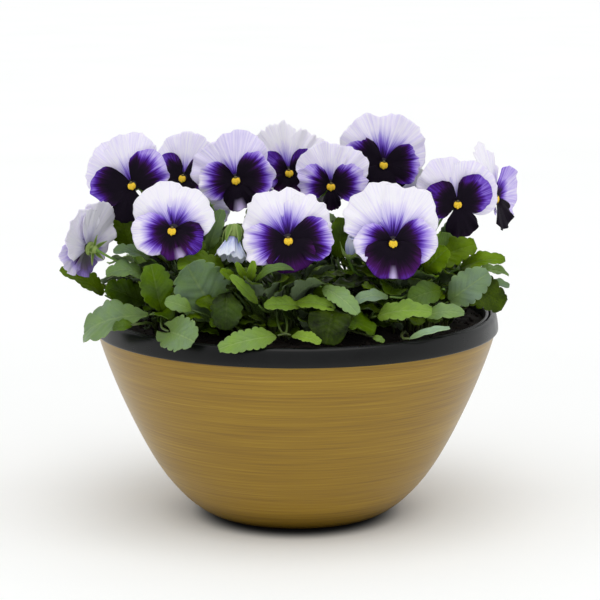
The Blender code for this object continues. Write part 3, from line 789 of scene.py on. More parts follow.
def petal_finish(name, stops, crisp, deep_side, wash):
    """Pansy petal: velvety cells over soft tissue that lets light through, with feathered veins.

    Colour runs along the ramp from the eye outwards, and 0.3 on the ramp is the blotch's end. Crisp
    is how fast it turns pale there. Deep side is how much deeper the side is that lies on the petal
    above. Wash is how much of the colour shows on this face.
    """
    tree = new_finish(name)
    across, along = own_map(tree)
    dark, rim, seed, tongue = tone_of(tree)
    seed = seed * 60.0
    # (veins across the petal, waves along it)
    blotches, feathers, veins = [
        noisy(joined(across * many, along * waves, seed), 1.0, 2.0)
        for many, waves in ((7.0, 0.8), (26.0, 1.2), (70.0, 2.0))
    ]
    # The petal is shorter towards its sides, where its margin runs back to the throat.
    slant = (across * 3.08 - 1.54).calc("COSINE").calc("POWER", 0.3)
    edge = along * slant - dark + blotches * 0.4 + feathers * 0.26 - 0.33
    limit = rim - remap(across, 0.6, 0.92, 0.0, deep_side)
    place = (edge * crisp + 0.3).calc("MINIMUM", limit) + (veins - 0.5) * 0.42
    colour = tinted(place, *stops)
    # Pale patch at the middle of the margin.
    aside = (abs(across - 0.5) + feathers * 0.04) / tongue
    patch = remap(aside, 0.04, 0.105, 1.0, 0.0) * remap(along, 0.58, 0.98, 0.0, 1.0)
    colour = washed(colour, "#dcc9fa", patch * tongue.calc("GREATER_THAN", 0.1))
    if wash < 1:
        colour = washed(colour, "#efedf4", 1 - wash)
    close_finish(tree, {
        "Base Color": colour, "Roughness": 0.62, "Normal": bump(veins, 0.6, 0.0004), "IOR": 1.4,
        "Specular IOR Level": 0.12, **soft(0.12, (1.0, 0.8, 1.1), 0.0008),
    })


VEINS = 6.0             # side veins on each half of a blade
VEIN_SLANT = 0.34       # how far up the blade a vein climbs on its way to the margin


def leaf_finish(name, underside):
    """Pansy leaf: a smooth waxy skin, a little paler along its veins.

    The underside is paler and duller.
    """
    tree = new_finish(name)
    across, along = own_map(tree)
    hue, light = tone_of(tree)[:2]
    spot = spot_on(tree)
    cloud = noisy(spot, 95.0, 3.0)
    skin = noisy(spot, 700.0, 2.0)
    side = abs(across * 2.0 - 1.0)
    # Side veins leave the midrib and run out towards the tip, as the quilting of the blade does.
    course = ((along - side * VEIN_SLANT) * VEINS).calc("FRACT")
    vein = remap(abs(course - 0.5), 0.02, 0.10, 0.5, 0.0) * remap(side, 0.2, 0.9, 1.0, 0.0)
    midrib = remap(side, 0.015, 0.07, 1.0, 0.0)
    vein = vein.calc("MAXIMUM", midrib)
    # Yellower where the blade joins its stalk.
    hue = cloud * 0.6 + hue + remap(along, 0.0, 0.45, 0.3, 0.0) - 0.36
    colour = tinted(hue, (0.0, "#7d947a"), (1.0, "#84a335"), (0.3, "#7a955e"), (0.65, "#78973f"))
    # Veins are paler, and a painted highlight runs along the margin, where its edge catches the
    # light.
    pale = vein.calc("MAXIMUM", remap(side, 0.93, 0.99, 0.0, 0.8))
    colour = washed(colour, "#a9c07c", pale * 0.34)
    # Painted light and shade: each leaf's light, and painted shade towards the foot, which stands
    # deeper among the other leaves.
    shade = skin * 0.16 + light + cloud * 0.3 + noisy(spot, 42.0, 1.0) * 0.4 - 0.43
    shade = shade * remap(along, 0.0, 0.5, 0.6, 1.08)
    # The painted shade dims the colour, and the leaves given least light are a more saturated
    # green.
    colour = dimmed(colour, shade, remap(light, 0.3, 0.85, 1.28, 1.0))
    if underside:
        colour = washed(colour, "#8b9c80", 0.4)
    close_finish(tree, {
        "Base Color": colour, "Roughness": 0.62 if underside else 0.42, "IOR": 1.42,
        "Normal": bump(skin * 0.25 + vein, 0.5, 0.0004), "Specular IOR Level": 0.14,
        **soft(0.15, (0.8, 1.0, 0.3), 0.0007),
    })


def stalk_finish():
    """Pansy stalk: fleshy and ribbed, pale at the foot and green above."""
    tree = new_finish("fleshy_stalk")
    spot = spot_on(tree)
    cloud = noisy(spot, 140.0, 3.0)
    level = cloud * 0.4 + remap(split(spot)[2], 0.158, 0.2, 0.0, 0.8)
    colour = tinted(level, (0.1, "#a4a86a"), (1.0, "#6c9236"), (0.5, "#7f9c45"))
    # Painted shade, as each piece's tone gives it: darker low among the leaves.
    colour = dimmed(colour, remap(tone_of(tree)[1], 0.0, 0.5, 0.15, 1.0))
    close_finish(tree, {
        "Base Color": colour, "Roughness": 0.45, "Normal": bump(cloud, 0.2, 0.0003), "IOR": 1.42,
        **soft(0.15, (0.8, 1.0, 0.3), 0.0008),
    })


def sepal_finish():
    """Sepals: thin leafy scales, yellow green with paler edges."""
    tree = new_finish("leafy_sepal")
    side = abs(own_map(tree)[0] * 2.0 - 1.0)
    close_finish(tree, {
        "Base Color": tinted(side, (0.0, "#6f8f32"), (1.0, "#93a95a"), (0.2, "#5f8026")),
        "Roughness": 0.5, "IOR": 1.42, **soft(0.15, (0.8, 1.0, 0.3), 0.0008),
    })


def eye_finish():
    """The lip at a pansy's throat: yellow, thick with pollen and short hairs."""
    tree = new_finish("pollen_yellow_lip")
    dust_and_painted_shade = noisy(spot_on(tree), 1600.0, 2.0)
    close_finish(tree, {
        "Base Color": tinted(dust_and_painted_shade, (0.3, "#f2b705"), (0.7, "#ffdc35")), "Roughness": 0.6,
        "Normal": bump(dust_and_painted_shade, 0.4, 0.0003), **soft(0.2, (1.0, 0.6, 0.1), 0.001),
    })


def throat_finishes():
    """The stigma's round head and the throat behind it: dull green over deep purple."""
    for name, scale, low, high, roughness in (
        ("green_stigma", 1600.0, (0.35, "#4a3f1c"), (0.7, "#7d7434"), 0.5),
        ("dark_throat", 900.0, (0.3, "#0d0612"), (0.7, "#1d0f2a"), 0.7),
    ):
        tree = new_finish(name)
        colour = tinted(noisy(spot_on(tree), scale, 2.0), low, high)
        close_finish(tree, {"Base Color": colour, "Roughness": roughness})


def bud_finish():
    """Petals still furled: thin and blue white, with violet veins that run down from the calyx."""
    tree = new_finish("furled_petal")
    across, along = own_map(tree)
    veins = noisy(joined(across * 22.0, along * 1.4), 1.0, 2.0)
    colour = tinted(
        along * 0.55 + veins,
        (0.3, "#7a74c6"), (0.95, "#e6eafb"), (0.48, "#a5a9e2"), (0.68, "#c8d0f4"),
    )
    close_finish(tree, {
        "Base Color": colour, "Roughness": 0.55, "Normal": bump(veins, 0.3, 0.0003), "IOR": 1.4,
        **soft(0.25, (1.0, 0.8, 1.1), 0.0008),
    })


def studio_floor():
    """Seamless paper: matt, near white."""
    tree = new_finish("seamless_paper")
    spot = spot_on(tree)
    colour = tinted(noisy(spot, 3.0, 2.0), (0.3, "#f7f7f6"), (0.7, "#f9f9f8"))
    # Painted shadow close round the pot's foot, and a painted glow of light farther out, strongest
    # in front.
    ahead = node(tree, "VectorMath", {0: spot, 1: (0, 0.012, 0)}, operation="ADD")
    dust_and_painted_shade = remap(length_of(ahead), 0.06, 0.088, 0.06, 1.0, interpolation_type="SMOOTHSTEP")
    painted_glow = remap(length_of(spot), 0.08, 0.12, 0.0, remap(split(spot)[1], 0.05, -0.15, 0.04, 0.1))
    close_finish(tree, {
        "Base Color": dimmed(colour, dust_and_painted_shade), "Roughness": 0.9, "Specular IOR Level": 0.0,
        "Emission Color": (0.82, 0.94, 1.0, 1.0), "Emission Strength": painted_glow,
    })


def studio_world():
    """White walls at the sides and the back, a dimmer ceiling and a dark room in front."""
    world = bpy.data.worlds.new("white_studio")
    world.use_nodes = True
    tree = world.node_tree
    tree.nodes.clear()
    _x, y, z = split(node(tree, "TexCoord", out="Generated"))
    # In front of the planter the light comes from above eye level.
    front = remap(z, 0.0, 0.35, 0.42, 0.85)
    side = remap(y, -0.7, 0.0, 0.0, 1.0)
    walls = node(tree, "Mix", {0: side, 2: front, 3: 0.95}, data_type="FLOAT")
    rise = remap(z, 0.3, 0.7, 0.0, 1.0)
    strength = node(tree, "Mix", {0: rise, 2: walls, 3: 0.75}, data_type="FLOAT")
    light = node(tree, "Background", {"Color": (0.975, 0.988, 1.0, 1.0), "Strength": strength})
    node(tree, "OutputWorld", {"Surface": light}, out=None)
    return world


PETAL_FINISHES = [
    "petal_upper_front", "petal_upper_back", "petal_side_front", "petal_side_back",
    "petal_lower_front", "petal_lower_back", "pollen_yellow_lip", "green_stigma", "dark_throat",
    "leafy_sepal",
]
EYE_SLOT, STIGMA_SLOT, THROAT_SLOT, SEPAL_SLOT = 6, 7, 8, 9
LEAF_FINISHES = ["leaf_upper_face", "leaf_underside", "fleshy_stalk"]


def make_finishes():
    ochre_lacquer()
    black_plastic()
    potting_soil()
    for kind, ramp, crisp, deep_side, wash in (
        ("upper", UPPER_RAMP, 1.3, 0.0, 0.45),
        ("side", SIDE_RAMP, 1.55, 0.24, 0.75),
        ("lower", LOWER_RAMP, 1.2, 0.0, 0.85),
    ):
        petal_finish(f"petal_{kind}_front", ramp, crisp, deep_side, 1.0)
        petal_finish(f"petal_{kind}_back", ramp, crisp, deep_side, wash)
    leaf_finish("leaf_upper_face", False)
    leaf_finish("leaf_underside", True)
    stalk_finish()
    sepal_finish()
    eye_finish()
    throat_finishes()
    bud_finish()
    studio_floor()


# ---------------------------------------------------------------- flowers
def facing(turn, look_up, lean):
    """The flower's own axes: right, up and forward."""
    turn, look_up, lean = math.radians(turn), math.radians(look_up), math.radians(lean)
    level = math.cos(look_up)
    forward = Vector((math.sin(turn) * level, -math.cos(turn) * level, math.sin(look_up)))
    right = forward.cross(Vector((0, 0, -1))).normalized()
    up = forward.cross(right)
    tilted_up = up * math.cos(lean) - right * math.sin(lean)
    tilted_right = right * math.cos(lean) + up * math.sin(lean)
    return tilted_right, tilted_up, forward


def grow_petal(bm, eye, axes, half, shape, frill, slots, seed, settings):
    """Fan of tissue that leaves the throat narrow and ends in a broad waved margin."""
    right, up, forward = axes
    full = shape.reach * half
    chance = random.Random(seed)
    beats = [chance.uniform(1.5, 2.4), chance.uniform(3.2, 4.4), chance.uniform(5.5, 7.5)]
    phases = [chance.uniform(0, math.tau) for _ in range(4)]

    def place(across, along):
        u = across * 2 - 1
        v = 0.05 + 0.95 * along
        turn = math.radians(shape.angle + shape.spread * u)
        outline = max(0.04, math.cos(math.pi / 2 * 0.98 * abs(u))) ** shape.fullness
        uneven = noise.noise(Vector((u * 2.6, seed * 3.7, 1.3)))
        uneven += 0.9 * noise.noise(Vector((u * 7, seed * 3.7, 4.1)))
        uneven += 0.5 * noise.noise(Vector((u * 17, seed * 3.7, 7.9)))
        dent = shape.notch * math.exp(-(u / 0.13) ** 2)
        reach = full * outline * (1 + (1.5 * shape.ruffle * uneven - dent) * v)
        roll = shape.curl * v * v
        out = reach * (v - abs(shape.curl) ** 2 * v ** 5 / 10)
        waves = math.sin(math.pi * beats[0] * u + phases[0]) * 0.55
        waves += math.sin(math.pi * beats[1] * u + phases[1]) * 0.4
        waves += math.sin(math.pi * beats[2] * u + phases[2]) * 0.34 * v * v
        ribs = (0.34 * math.sin(25 * u + phases[3] + 3 * uneven) + 0.14 * math.sin(61 * u)) * v * v
        lift = (
            shape.forward * min(1.0, v * 3) + shape.lean * v * v * outline
            + shape.cup * u * u * v + roll * reach * v / 3
            + 1.35 * frill * v ** 2.6 * waves + ribs - 2.4 * (1 - v) ** 3
        )
        return eye + right * (out * math.cos(turn)) + up * (out * math.sin(turn)) + forward * lift

    tone = (shape.dark, shape.rim, chance.random(), shape.tongue)
    bent_sheet(
        bm, (settings.cells_across, settings.cells_along), place, forward,
        settings.petal_thickness / MM, slots, tone,
    )


def grow_eye(bm, eye, axes):
    """Three-lobed yellow lip, the stigma's head above it and the dark throat behind both."""
    right, up, forward = axes
    ball(bm, eye - forward * 2.4, axes, (5.2, 5.0, 1.2), THROAT_SLOT, PLAIN)
    for side in (-1, 0, 1):
        lobe = eye + right * (side * 1.7) - up * (1.6 - 0.5 * abs(side)) + forward * 0.6
        ball(bm, lobe, axes, (1.7, 2.9 - 0.4 * abs(side), 1.0), EYE_SLOT, PLAIN)
    ball(bm, eye + up * 1.7 + forward * 0.5, axes, (1.2, 1.0, 0.9), STIGMA_SLOT, PLAIN)


def grow_sepals(bm, centre, axes, length, width, back, slot):
    """Five pointed sepals spread behind the petals."""
    right, up, forward = axes
    for k in range(5):
        turn = math.tau * k / 5 + math.pi / 2
        outward = spoke(right, up, turn)
        aside = right * -math.sin(turn) + up * math.cos(turn)

        def place(across, along, outward=outward, aside=aside):
            s = across * 2 - 1
            half = width / 2 * (0.5 + 0.5 * min(1, along * 4)) * (1 - along ** 2.2)
            hollow = -0.18 * width * s * s
            return (
                centre + outward * (1.2 + length * along) + aside * (s * max(half, 0.12))
                + forward * (hollow - back * along * along)
            )

        bent_sheet(bm, (4, 9), place, forward, SEPAL_THICKNESS, (slot, slot), PLAIN)


def grow_bloom(name, bloom, seed, settings):
    axes = facing(bloom.turn, bloom.look_up, bloom.lean)
    eye = Vector(bloom.eye)
    bm = new_mesh()
    for index, (petal_name, common) in enumerate(PETALS.items()):
        shape = common._replace(**bloom.changes.get(petal_name, {}))
        slot = index // 2 * 2       # a front and a back finish for each kind of petal
        grow_petal(
            bm, eye, axes, bloom.width / 2, shape, bloom.frill, (slot, slot + 1),
            seed * 10 + index, settings,
        )
    grow_eye(bm, eye, axes)
    calyx = eye - axes[2] * 8
    ball(bm, eye - axes[2] * 4.6, axes, (5.8, 5.6, 2.2), SEPAL_SLOT, PLAIN)
    ball(bm, calyx + axes[2] * 0.5, axes, (3.6, 3.6, 4.4), SEPAL_SLOT, PLAIN)
    grow_sepals(bm, calyx, axes, 11.5, 4.4, 3.5, SEPAL_SLOT)
    grown.append(BVHTree.FromBMesh(bm))
    add_piece(name + "_petals", bm, PETAL_FINISHES, [name])


# ---------------------------------------------------------------- buds
def grow_nodding_bud():
    """Bud that hangs from its hook, with the petals' skirt half open below the green calyx."""
    axis = Vector((-0.12, -0.4, -0.9)).normalized()
    top = Vector((-50, -95, 221)) - axis * 27
    side = axis.cross(Vector((0, 1, 0))).normalized()
    front = side.cross(axis).normalized()
    bm = new_mesh()
    for k in range(6):
        middle = math.tau * k / 6

        def place(across, along, middle=middle, k=k):
            u = across * 2 - 1
            turn = middle + u * 0.8
            flare = 4.4 + 7.4 * along ** 0.9 + 0.6 * math.sin(k * 2.1)
            flare += 1.2 * along * math.sin(5 * u + k)
            hem = 16 - 3.5 * u * u + 1.3 * math.sin(9 * u + k) + 1.8 * math.sin(k * 1.7)
            fall = 10.5 + hem * along
            outward = spoke(side, front, turn)
            return top + axis * fall + outward * (flare - 0.35 * (k % 2) - 0.5 * abs(u))

        outward = spoke(side, front, middle)
        bent_sheet(bm, (12, 14), place, outward, 0.3, (0, 0), (0.5, 0.5, k / 6, 0))
    ball(bm, top + axis * 6, (side, front, axis), (5.8, 5.8, 7.0), 1, PLAIN)
    for k in range(5):
        turn = math.tau * k / 5 + 0.3
        outward = spoke(side, front, turn)
        aside = axis.cross(outward)

        def scale(across, along, outward=outward, aside=aside):
            s = across * 2 - 1
            half = 3.4 * (0.6 + 0.4 * min(1, along * 3)) * (1 - along ** 2)
            spread = 5.0 + 3.4 * math.sin(along * 1.9)
            return top + axis * (1 + 15 * along) + outward * spread + aside * (s * max(half, 0.15))

        bent_sheet(bm, (4, 9), scale, outward, SEPAL_THICKNESS, (1, 1), PLAIN)
    grown.append(BVHTree.FromBMesh(bm))
    add_piece("bud_nodding_skirt", bm, ["furled_petal", "leafy_sepal"], ["bud_nodding"])


def grow_furled_bud(name, tip, axis, length, width):
    """Bud with its petals rolled in a blunt roll above a small calyx."""
    axis = Vector(axis).normalized()
    foot = Vector(tip) - axis * length
    side = axis.cross(Vector((0.2, 1, 0.1))).normalized()
    front = side.cross(axis).normalized()
    bm = new_mesh()
    for k in range(3):
        middle = math.tau * k / 3

        def place(across, along, middle=middle):
            u = across * 2 - 1
            turn = middle + u * 1.35 + along * 0.9
            swell = width / 2 * (0.62 + 0.5 * math.sin(min(along * 1.25, 1) * 2.2) - 0.25 * along)
            outward = spoke(side, front, turn)
            return foot + axis * (length * (0.12 + 0.88 * along)) + outward * (swell - 0.35 * u)

        outward = spoke(side, front, middle)
        bent_sheet(bm, (12, 12), place, outward, 0.3, (0, 0), (0.5, 0.5, k / 3, 0))
    ball(bm, foot + axis * (length * 0.5), (side, front, axis),
         (width * 0.36, width * 0.36, length * 0.45), 0, PLAIN)
    ball(bm, foot + axis * 1.5, (side, front, axis), (width * 0.4, width * 0.4, 3), 1, PLAIN)
    grow_sepals(bm, foot, (side, front, axis), length * 0.5, 3.4, -9.0, 1)
    grown.append(BVHTree.FromBMesh(bm))
    add_piece(name + "_roll", bm, ["furled_petal", "leafy_sepal"], [name])


# ---------------------------------------------------------------- leaves
def grow_blade(bm, leaf, seed, thickness, cells):
    """Blade with rounded teeth, puffed up between its veins."""
    base, tip = Vector(leaf.base), Vector(leaf.tip)
    along_axis = tip - base
    length = along_axis.length
    along_axis.normalize()
    side = Vector(leaf.side)
    up = (side - along_axis * side.dot(along_axis)).normalized()
    across_axis = up.cross(along_axis)
    width = leaf.width
    chance = random.Random(seed)
    phase = chance.uniform(0, math.tau)
    lag = chance.uniform(0.2, 0.8)

    def place(across, along):
        s = across * 2 - 1
        edge = abs(s)
        taper = 0.66 - 0.34 * along - 0.6 * leaf.ears * (1 - along)
        breadth = max(0.05, math.sin(math.pi * min(0.9995, along) ** leaf.belly)) ** taper
        beat = leaf.teeth * along + (lag if s > 0 else 0)
        bite = 1 - 0.2 * (1 - abs(math.sin(math.pi * beat)) ** 0.5) * edge ** 4
        x = s * breadth * width / 2 * bite
        y = length * (along - leaf.ears * edge ** 2 * (1 - along) ** 4)
        course = (along - VEIN_SLANT * edge) * VEINS
        puff = abs(math.sin(math.pi * (course - 0.5))) ** 0.7
        relief = 0.035 * width * (puff - 1) * (1 - edge ** 3) * math.sin(math.pi * along)
        groove = -0.025 * width * math.exp(-(s / 0.1) ** 2)
        ripple = leaf.wave * width * s * s * math.sin(4.8 * math.pi * along + phase + s)
        lift = (
            leaf.arch * length * 4 * along * (1 - along) + leaf.fold * abs(x)
            - 0.05 * width * along * along + relief + groove + ripple
        )
        turn = math.radians(leaf.twist) * along
        level = spoke(across_axis, up, turn)
        high = up * math.cos(turn) - across_axis * math.sin(turn)
        return base + along_axis * y + level * x + high * lift

    tone = (leaf.hue, leaf.light, chance.random(), 0)
    bent_sheet(bm, cells, place, up, thickness, (0, 1), tone)


def grow_leaf_stalk(bm, leaf, crown, share):
    """Thin shaded stalk to a blade, out of the soil at a share of the way from the crown to it."""
    base, tip = Vector(leaf.base), Vector(leaf.tip)
    heading = (tip - base).normalized()
    near = Vector((*crown, 0)).lerp(base, share)
    near.z = soil_height(near.x, near.y) - 1
    room = (base - near).length
    points = eased_curve(
        near, near + Vector((0, 0, room * 0.4)), base - heading * room * 0.3, base + heading, 7,
    )
    stalk(bm, points, [1.1] * 6 + [0.7], 2, (0.5, 0.1, 0.5, 0), 5)


# Where a plant's own foliage may grow, mm.
FOLIAGE_TOP, FOLIAGE_FOOT, FOLIAGE_FRONT, FOLIAGE_REACH = 235, 164, -134, 158
RIM_INSIDE, OVER_RIM = 141, 173


def inner_leaf(chance, crown, share):
    """A likely blade for one of a plant's inner leaves, spread low at first and steep at last."""
    x, y = crown
    turn = chance.uniform(0, math.tau)
    outward = Vector((math.cos(turn), math.sin(turn), 0))
    away = (1 - share) * 62 + share * 8 + chance.uniform(-12, 16)
    base = Vector((x, y, 0)) + outward * max(4, away)
    base.z = 168 + share * 38 + chance.uniform(-5, 7)
    pitch = math.radians(-12 + 60 * share + chance.uniform(-16, 22))
    swing = math.radians(chance.uniform(-40, 40))
    heading = Vector((math.cos(turn + swing), math.sin(turn + swing), 0))
    length = chance.uniform(23, 37) * (1.05 - 0.25 * share)
    tip = base + (heading * math.cos(pitch) + Vector((0, 0, math.sin(pitch)))) * length
    sideways = Vector((-heading.y, heading.x, 0))
    side = Vector((0, 0, 1)) + outward * chance.uniform(0, 0.6)
    side += sideways * chance.uniform(-0.5, 0.5)
    return Leaf(
        tuple(base), tuple(tip), tuple(side),
        width=length * chance.uniform(0.58, 0.8), arch=chance.uniform(0.06, 0.2),
        fold=chance.uniform(0.05, 0.22), hue=chance.uniform(0.55, 1.1),
        # Painted shade: inner leaves are given little light.
        light=0.08 + 0.36 * chance.random() ** 1.8, belly=chance.uniform(0.8, 1.15),
        teeth=chance.randint(5, 7), wave=0.06, twist=chance.uniform(-12, 12),
    )


def low_leaf(chance, crown, _share):
    """A likely blade for the small leaves that lie close over the soil and hide the stalks."""
    turn = chance.uniform(0, math.tau)
    outward = Vector((math.cos(turn), math.sin(turn), 0))
    base = Vector((*crown, 0)) + outward * chance.uniform(14, 66)
    base.z = soil_height(base.x, base.y) + chance.uniform(5, 22)
    turn += math.radians(chance.uniform(-70, 70))
    pitch = math.radians(chance.uniform(-14, 40))
    level = math.cos(pitch)
    heading = Vector((math.cos(turn) * level, math.sin(turn) * level, math.sin(pitch)))
    length = chance.uniform(13, 22)
    side = Vector((0, 0, 1)) + outward * chance.uniform(0, 0.8)
    return Leaf(
        tuple(base), tuple(base + heading * length), tuple(side),
        width=length * chance.uniform(0.6, 0.85), arch=chance.uniform(0.06, 0.2), fold=0.12,
        # Painted shade: the low leaves are given little light.
        hue=chance.uniform(0.6, 1.1), light=chance.uniform(0.08, 0.3), belly=0.95,
        teeth=chance.randint(4, 5),
    )


def room_for(leaf, seed, thickness):
    """True if the blade stays over the pot, under the flowers and clear of all grown before it."""
    for point in (Vector(leaf.base), Vector(leaf.tip)):
        ceiling = FOLIAGE_TOP - 0.12 * max(0.0, point.y)
        reach = math.hypot(point.x, point.y)
        floor = OVER_RIM if reach > RIM_INSIDE else FOLIAGE_FOOT
        if not floor <= point.z <= ceiling or point.y < FOLIAGE_FRONT or reach > FOLIAGE_REACH:
            return False
    trial = new_mesh()
    grow_blade(trial, leaf, seed, thickness, (4, 8))
    tree = BVHTree.FromBMesh(trial)
    trial.free()
    if any(tree.overlap(other) for other in grown):
        return False
    grown.append(tree)
    return True


def fitting_leaves(likely, wanted, patience, first_seed, thickness):
    """Likely leaves that have room, with their seeds, until there are enough or patience ends."""
    found = 0
    for seed in range(first_seed, first_seed + wanted * patience):
        leaf = likely(found / wanted)
        if room_for(leaf, seed, thickness):
            yield leaf, seed
            found += 1
            if found == wanted:
                return


# ---------------------------------------------------------------- operators
class PLANTER_OT_finishes(bpy.types.Operator):
    """Make every material of the planter and its plants"""
    bl_idname = "planter.finishes"
    bl_label = "Finishes"

    def execute(self, context):
        make_finishes()
        return {"FINISHED"}


class PLANTER_OT_pot(bpy.types.Operator):
    """Turn the lacquered bowl, its black collar and the black inner pot"""
    bl_idname = "planter.pot"
    bl_label = "Bowl, collar and inner pot"

    def execute(self, context):
        turns = context.scene.planter_settings.turns
        plastic = ("moulded_black_plastic", "black_plastic")
        for name, profile, ring, node_name, finish, slot in (
            ("lacquered_bowl", BOWL, False, "planter_bowl", "spun_bamboo_lacquer", "ochre_lacquer"),
            ("black_collar", COLLAR, True, "rim_collar", *plastic),
            ("black_inner_pot", LINER, True, "inner_pot", *plastic),
        ):
            bm = turned(profile, ring, turns)
            subdivide(add_piece(name, bm, [finish], [node_name]))
        return {"FINISHED"}


def soil_height(x, y):
    away = math.hypot(x, y) / SOIL_EDGE_R
    heap = SOIL_RISE * max(0.0, 1 - away ** 2)
    lumps = 1.5 * noise.noise(Vector((x / 17, y / 17, 3.1)))
    lumps += 0.9 * noise.noise(Vector((x / 7, y / 7, 8.4)))
    lumps += 0.5 * noise.noise(Vector((x / 2.8, y / 2.8, 5.2)))
    return SOIL_EDGE_Z + heap + lumps * min(1.0, max(0.0, (1 - away) * 12))


class PLANTER_OT_soil(bpy.types.Operator):
    """Fill the inner pot with potting soil and scatter crumbs on it"""
    bl_idname = "planter.soil"
    bl_label = "Potting soil"

    def execute(self, context):
        settings = context.scene.planter_settings
        rings = [SOIL_EDGE_R - 1.5 - SOIL_STEP * i for i in range(59)] + [0]
        top = [(r, SOIL_EDGE_Z + 0.01) for r in rings]
        bm = turned(SOIL_UNDER + top, False, settings.turns * 2)
        for vert in bm.verts:
            if vert.co.z > SOIL_EDGE_Z - 0.5 and math.hypot(vert.co.x, vert.co.y) < SOIL_EDGE_R:
                vert.co.z = soil_height(vert.co.x, vert.co.y)
        chance = random.Random(CRUMB_SEED)
        for _ in range(settings.crumbs):
            away = SOIL_EDGE_R * math.sqrt(chance.random()) * CRUMB_REACH
            turn = chance.uniform(0, math.tau)
            x, y = away * math.cos(turn), away * math.sin(turn)
            size = 0.8 + 2.2 * chance.random() ** 3
            centre = Vector((x, y, soil_height(x, y) + size * 0.3))
            axes = [Vector([chance.gauss(0, 1) for _ in range(3)]).normalized()]
            axes.append(axes[0].cross(Vector((0.3, 0.2, 1))).normalized())
            axes.append(axes[0].cross(axes[1]))
            radii = (size * chance.uniform(0.7, 1.6), size * chance.uniform(0.5, 1), size * 0.6)
            ball(bm, centre, axes, radii, 0, PLAIN, 1)
        for face in bm.faces:
            face.smooth = False
        add_piece("loose_soil", bm, ["peat_and_bark"], ["potting_soil"])
        return {"FINISHED"}


class PLANTER_OT_stalks(bpy.types.Operator):
    """Round off the stalks of each plant"""
    bl_idname = "planter.stalks"
    bl_label = "Crowns and stalks"

    def execute(self, context):
        for plant in CROWNS:
            node_name = plant + "_stems"
            bm = new_mesh()
            bm.from_mesh(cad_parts[node_name].data)
            bmesh.ops.remove_doubles(bm, verts=bm.verts, dist=0.00001)
            painted = bm.verts.layers.float_color["tone"]
            for vert in bm.verts:
                # Painted shade: the stalks are darker low down, among the leaves.
                open_air = min(1.0, max(0.0, (vert.co.z - SHADE_TOP) / SHADE_FADE))
                vert[painted] = (0.5, 0.08 + 0.42 * open_air, 0.5, 0)
            for face in bm.faces:
                face.smooth = True
                face.material_index = 0
            finish = ["fleshy_stalk"]
            subdivide(add_piece(plant + "_stalks", bm, finish, [node_name], 1.0))
        return {"FINISHED"}


class PLANTER_OT_blooms(bpy.types.Operator):
    """Grow the flowers, each of five petals round its eye"""
    bl_idname = "planter.blooms"
    bl_label = "Flowers"

    def execute(self, context):
        for index, (name, bloom) in enumerate(BLOOMS.items()):
            grow_bloom(name, bloom, BLOOM_SEED + index, context.scene.bloom_settings)
        return {"FINISHED"}


class PLANTER_OT_buds(bpy.types.Operator):
    """Grow the three buds"""
    bl_idname = "planter.buds"
    bl_label = "Buds"

    def execute(self, context):
        grow_nodding_bud()
        grow_furled_bud("bud_pale", (43, -84, 236), (0.15, -0.35, 0.92), 17, 9)
        grow_furled_bud("bud_back", (-30, 106, 222), (0.1, 0.55, 0.8), 18, 10)
        return {"FINISHED"}


class PLANTER_OT_leaves(bpy.types.Operator):
    """Grow the outer leaves one by one"""
    bl_idname = "planter.leaves"
    bl_label = "Outer leaves"

    def execute(self, context):
        thickness = context.scene.foliage_settings.leaf_thickness / MM
        for index, (name, leaf) in enumerate(LEAVES.items()):
            bm = new_mesh()
            grow_blade(bm, leaf, LEAF_SEED + index, thickness, (20, 8 * max(5, leaf.teeth)))
            grown.append(BVHTree.FromBMesh(bm))
            add_piece(name + "_blade", bm, LEAF_FINISHES, [name])
        bm = new_mesh()
        for index, leaf in enumerate(SMALL_LEAVES):
            grow_blade(bm, leaf, SMALL_LEAF_SEED + index, thickness, (10, 6 * leaf.teeth))
            away = {math.dist(crown, leaf.base[:2]): crown for crown in CROWNS.values()}
            grow_leaf_stalk(bm, leaf, away[min(away)], 0.5)
        grown.append(BVHTree.FromBMesh(bm))
        add_piece("small_leaves", bm, LEAF_FINISHES, ())
        return {"FINISHED"}


class PLANTER_OT_inner_leaves(bpy.types.Operator):
    """Fill each plant with the leaves behind its outer ones, then with low leaves over the soil"""
    bl_idname = "planter.inner_leaves"
    bl_label = "Inner leaves"

    def execute(self, context):
        settings = context.scene.foliage_settings
        thickness = settings.leaf_thickness / MM
        chance = random.Random(CLUMP_SEED)
        meshes = {plant: new_mesh() for plant in CROWNS}
        for plant, crown in CROWNS.items():
            likely = partial(inner_leaf, chance, crown)
            wanted = (settings.hidden_leaves, 12, INNER_LEAF_SEED)
            for leaf, seed in fitting_leaves(likely, *wanted, thickness):
                grow_blade(meshes[plant], leaf, seed, thickness, (6, 4 * leaf.teeth))
                grow_leaf_stalk(meshes[plant], leaf, crown, chance.uniform(0.35, 0.8))
        for plant, crown in CROWNS.items():
            likely = partial(low_leaf, chance, crown)
            wanted = (settings.low_leaves, 6, LOW_LEAF_SEED)
            for leaf, seed in fitting_leaves(likely, *wanted, thickness):
                grow_blade(meshes[plant], leaf, seed, thickness, (4, 3 * leaf.teeth))
            add_piece(plant + "_inner_leaves", meshes[plant], LEAF_FINISHES, ())
        return {"FINISHED"}


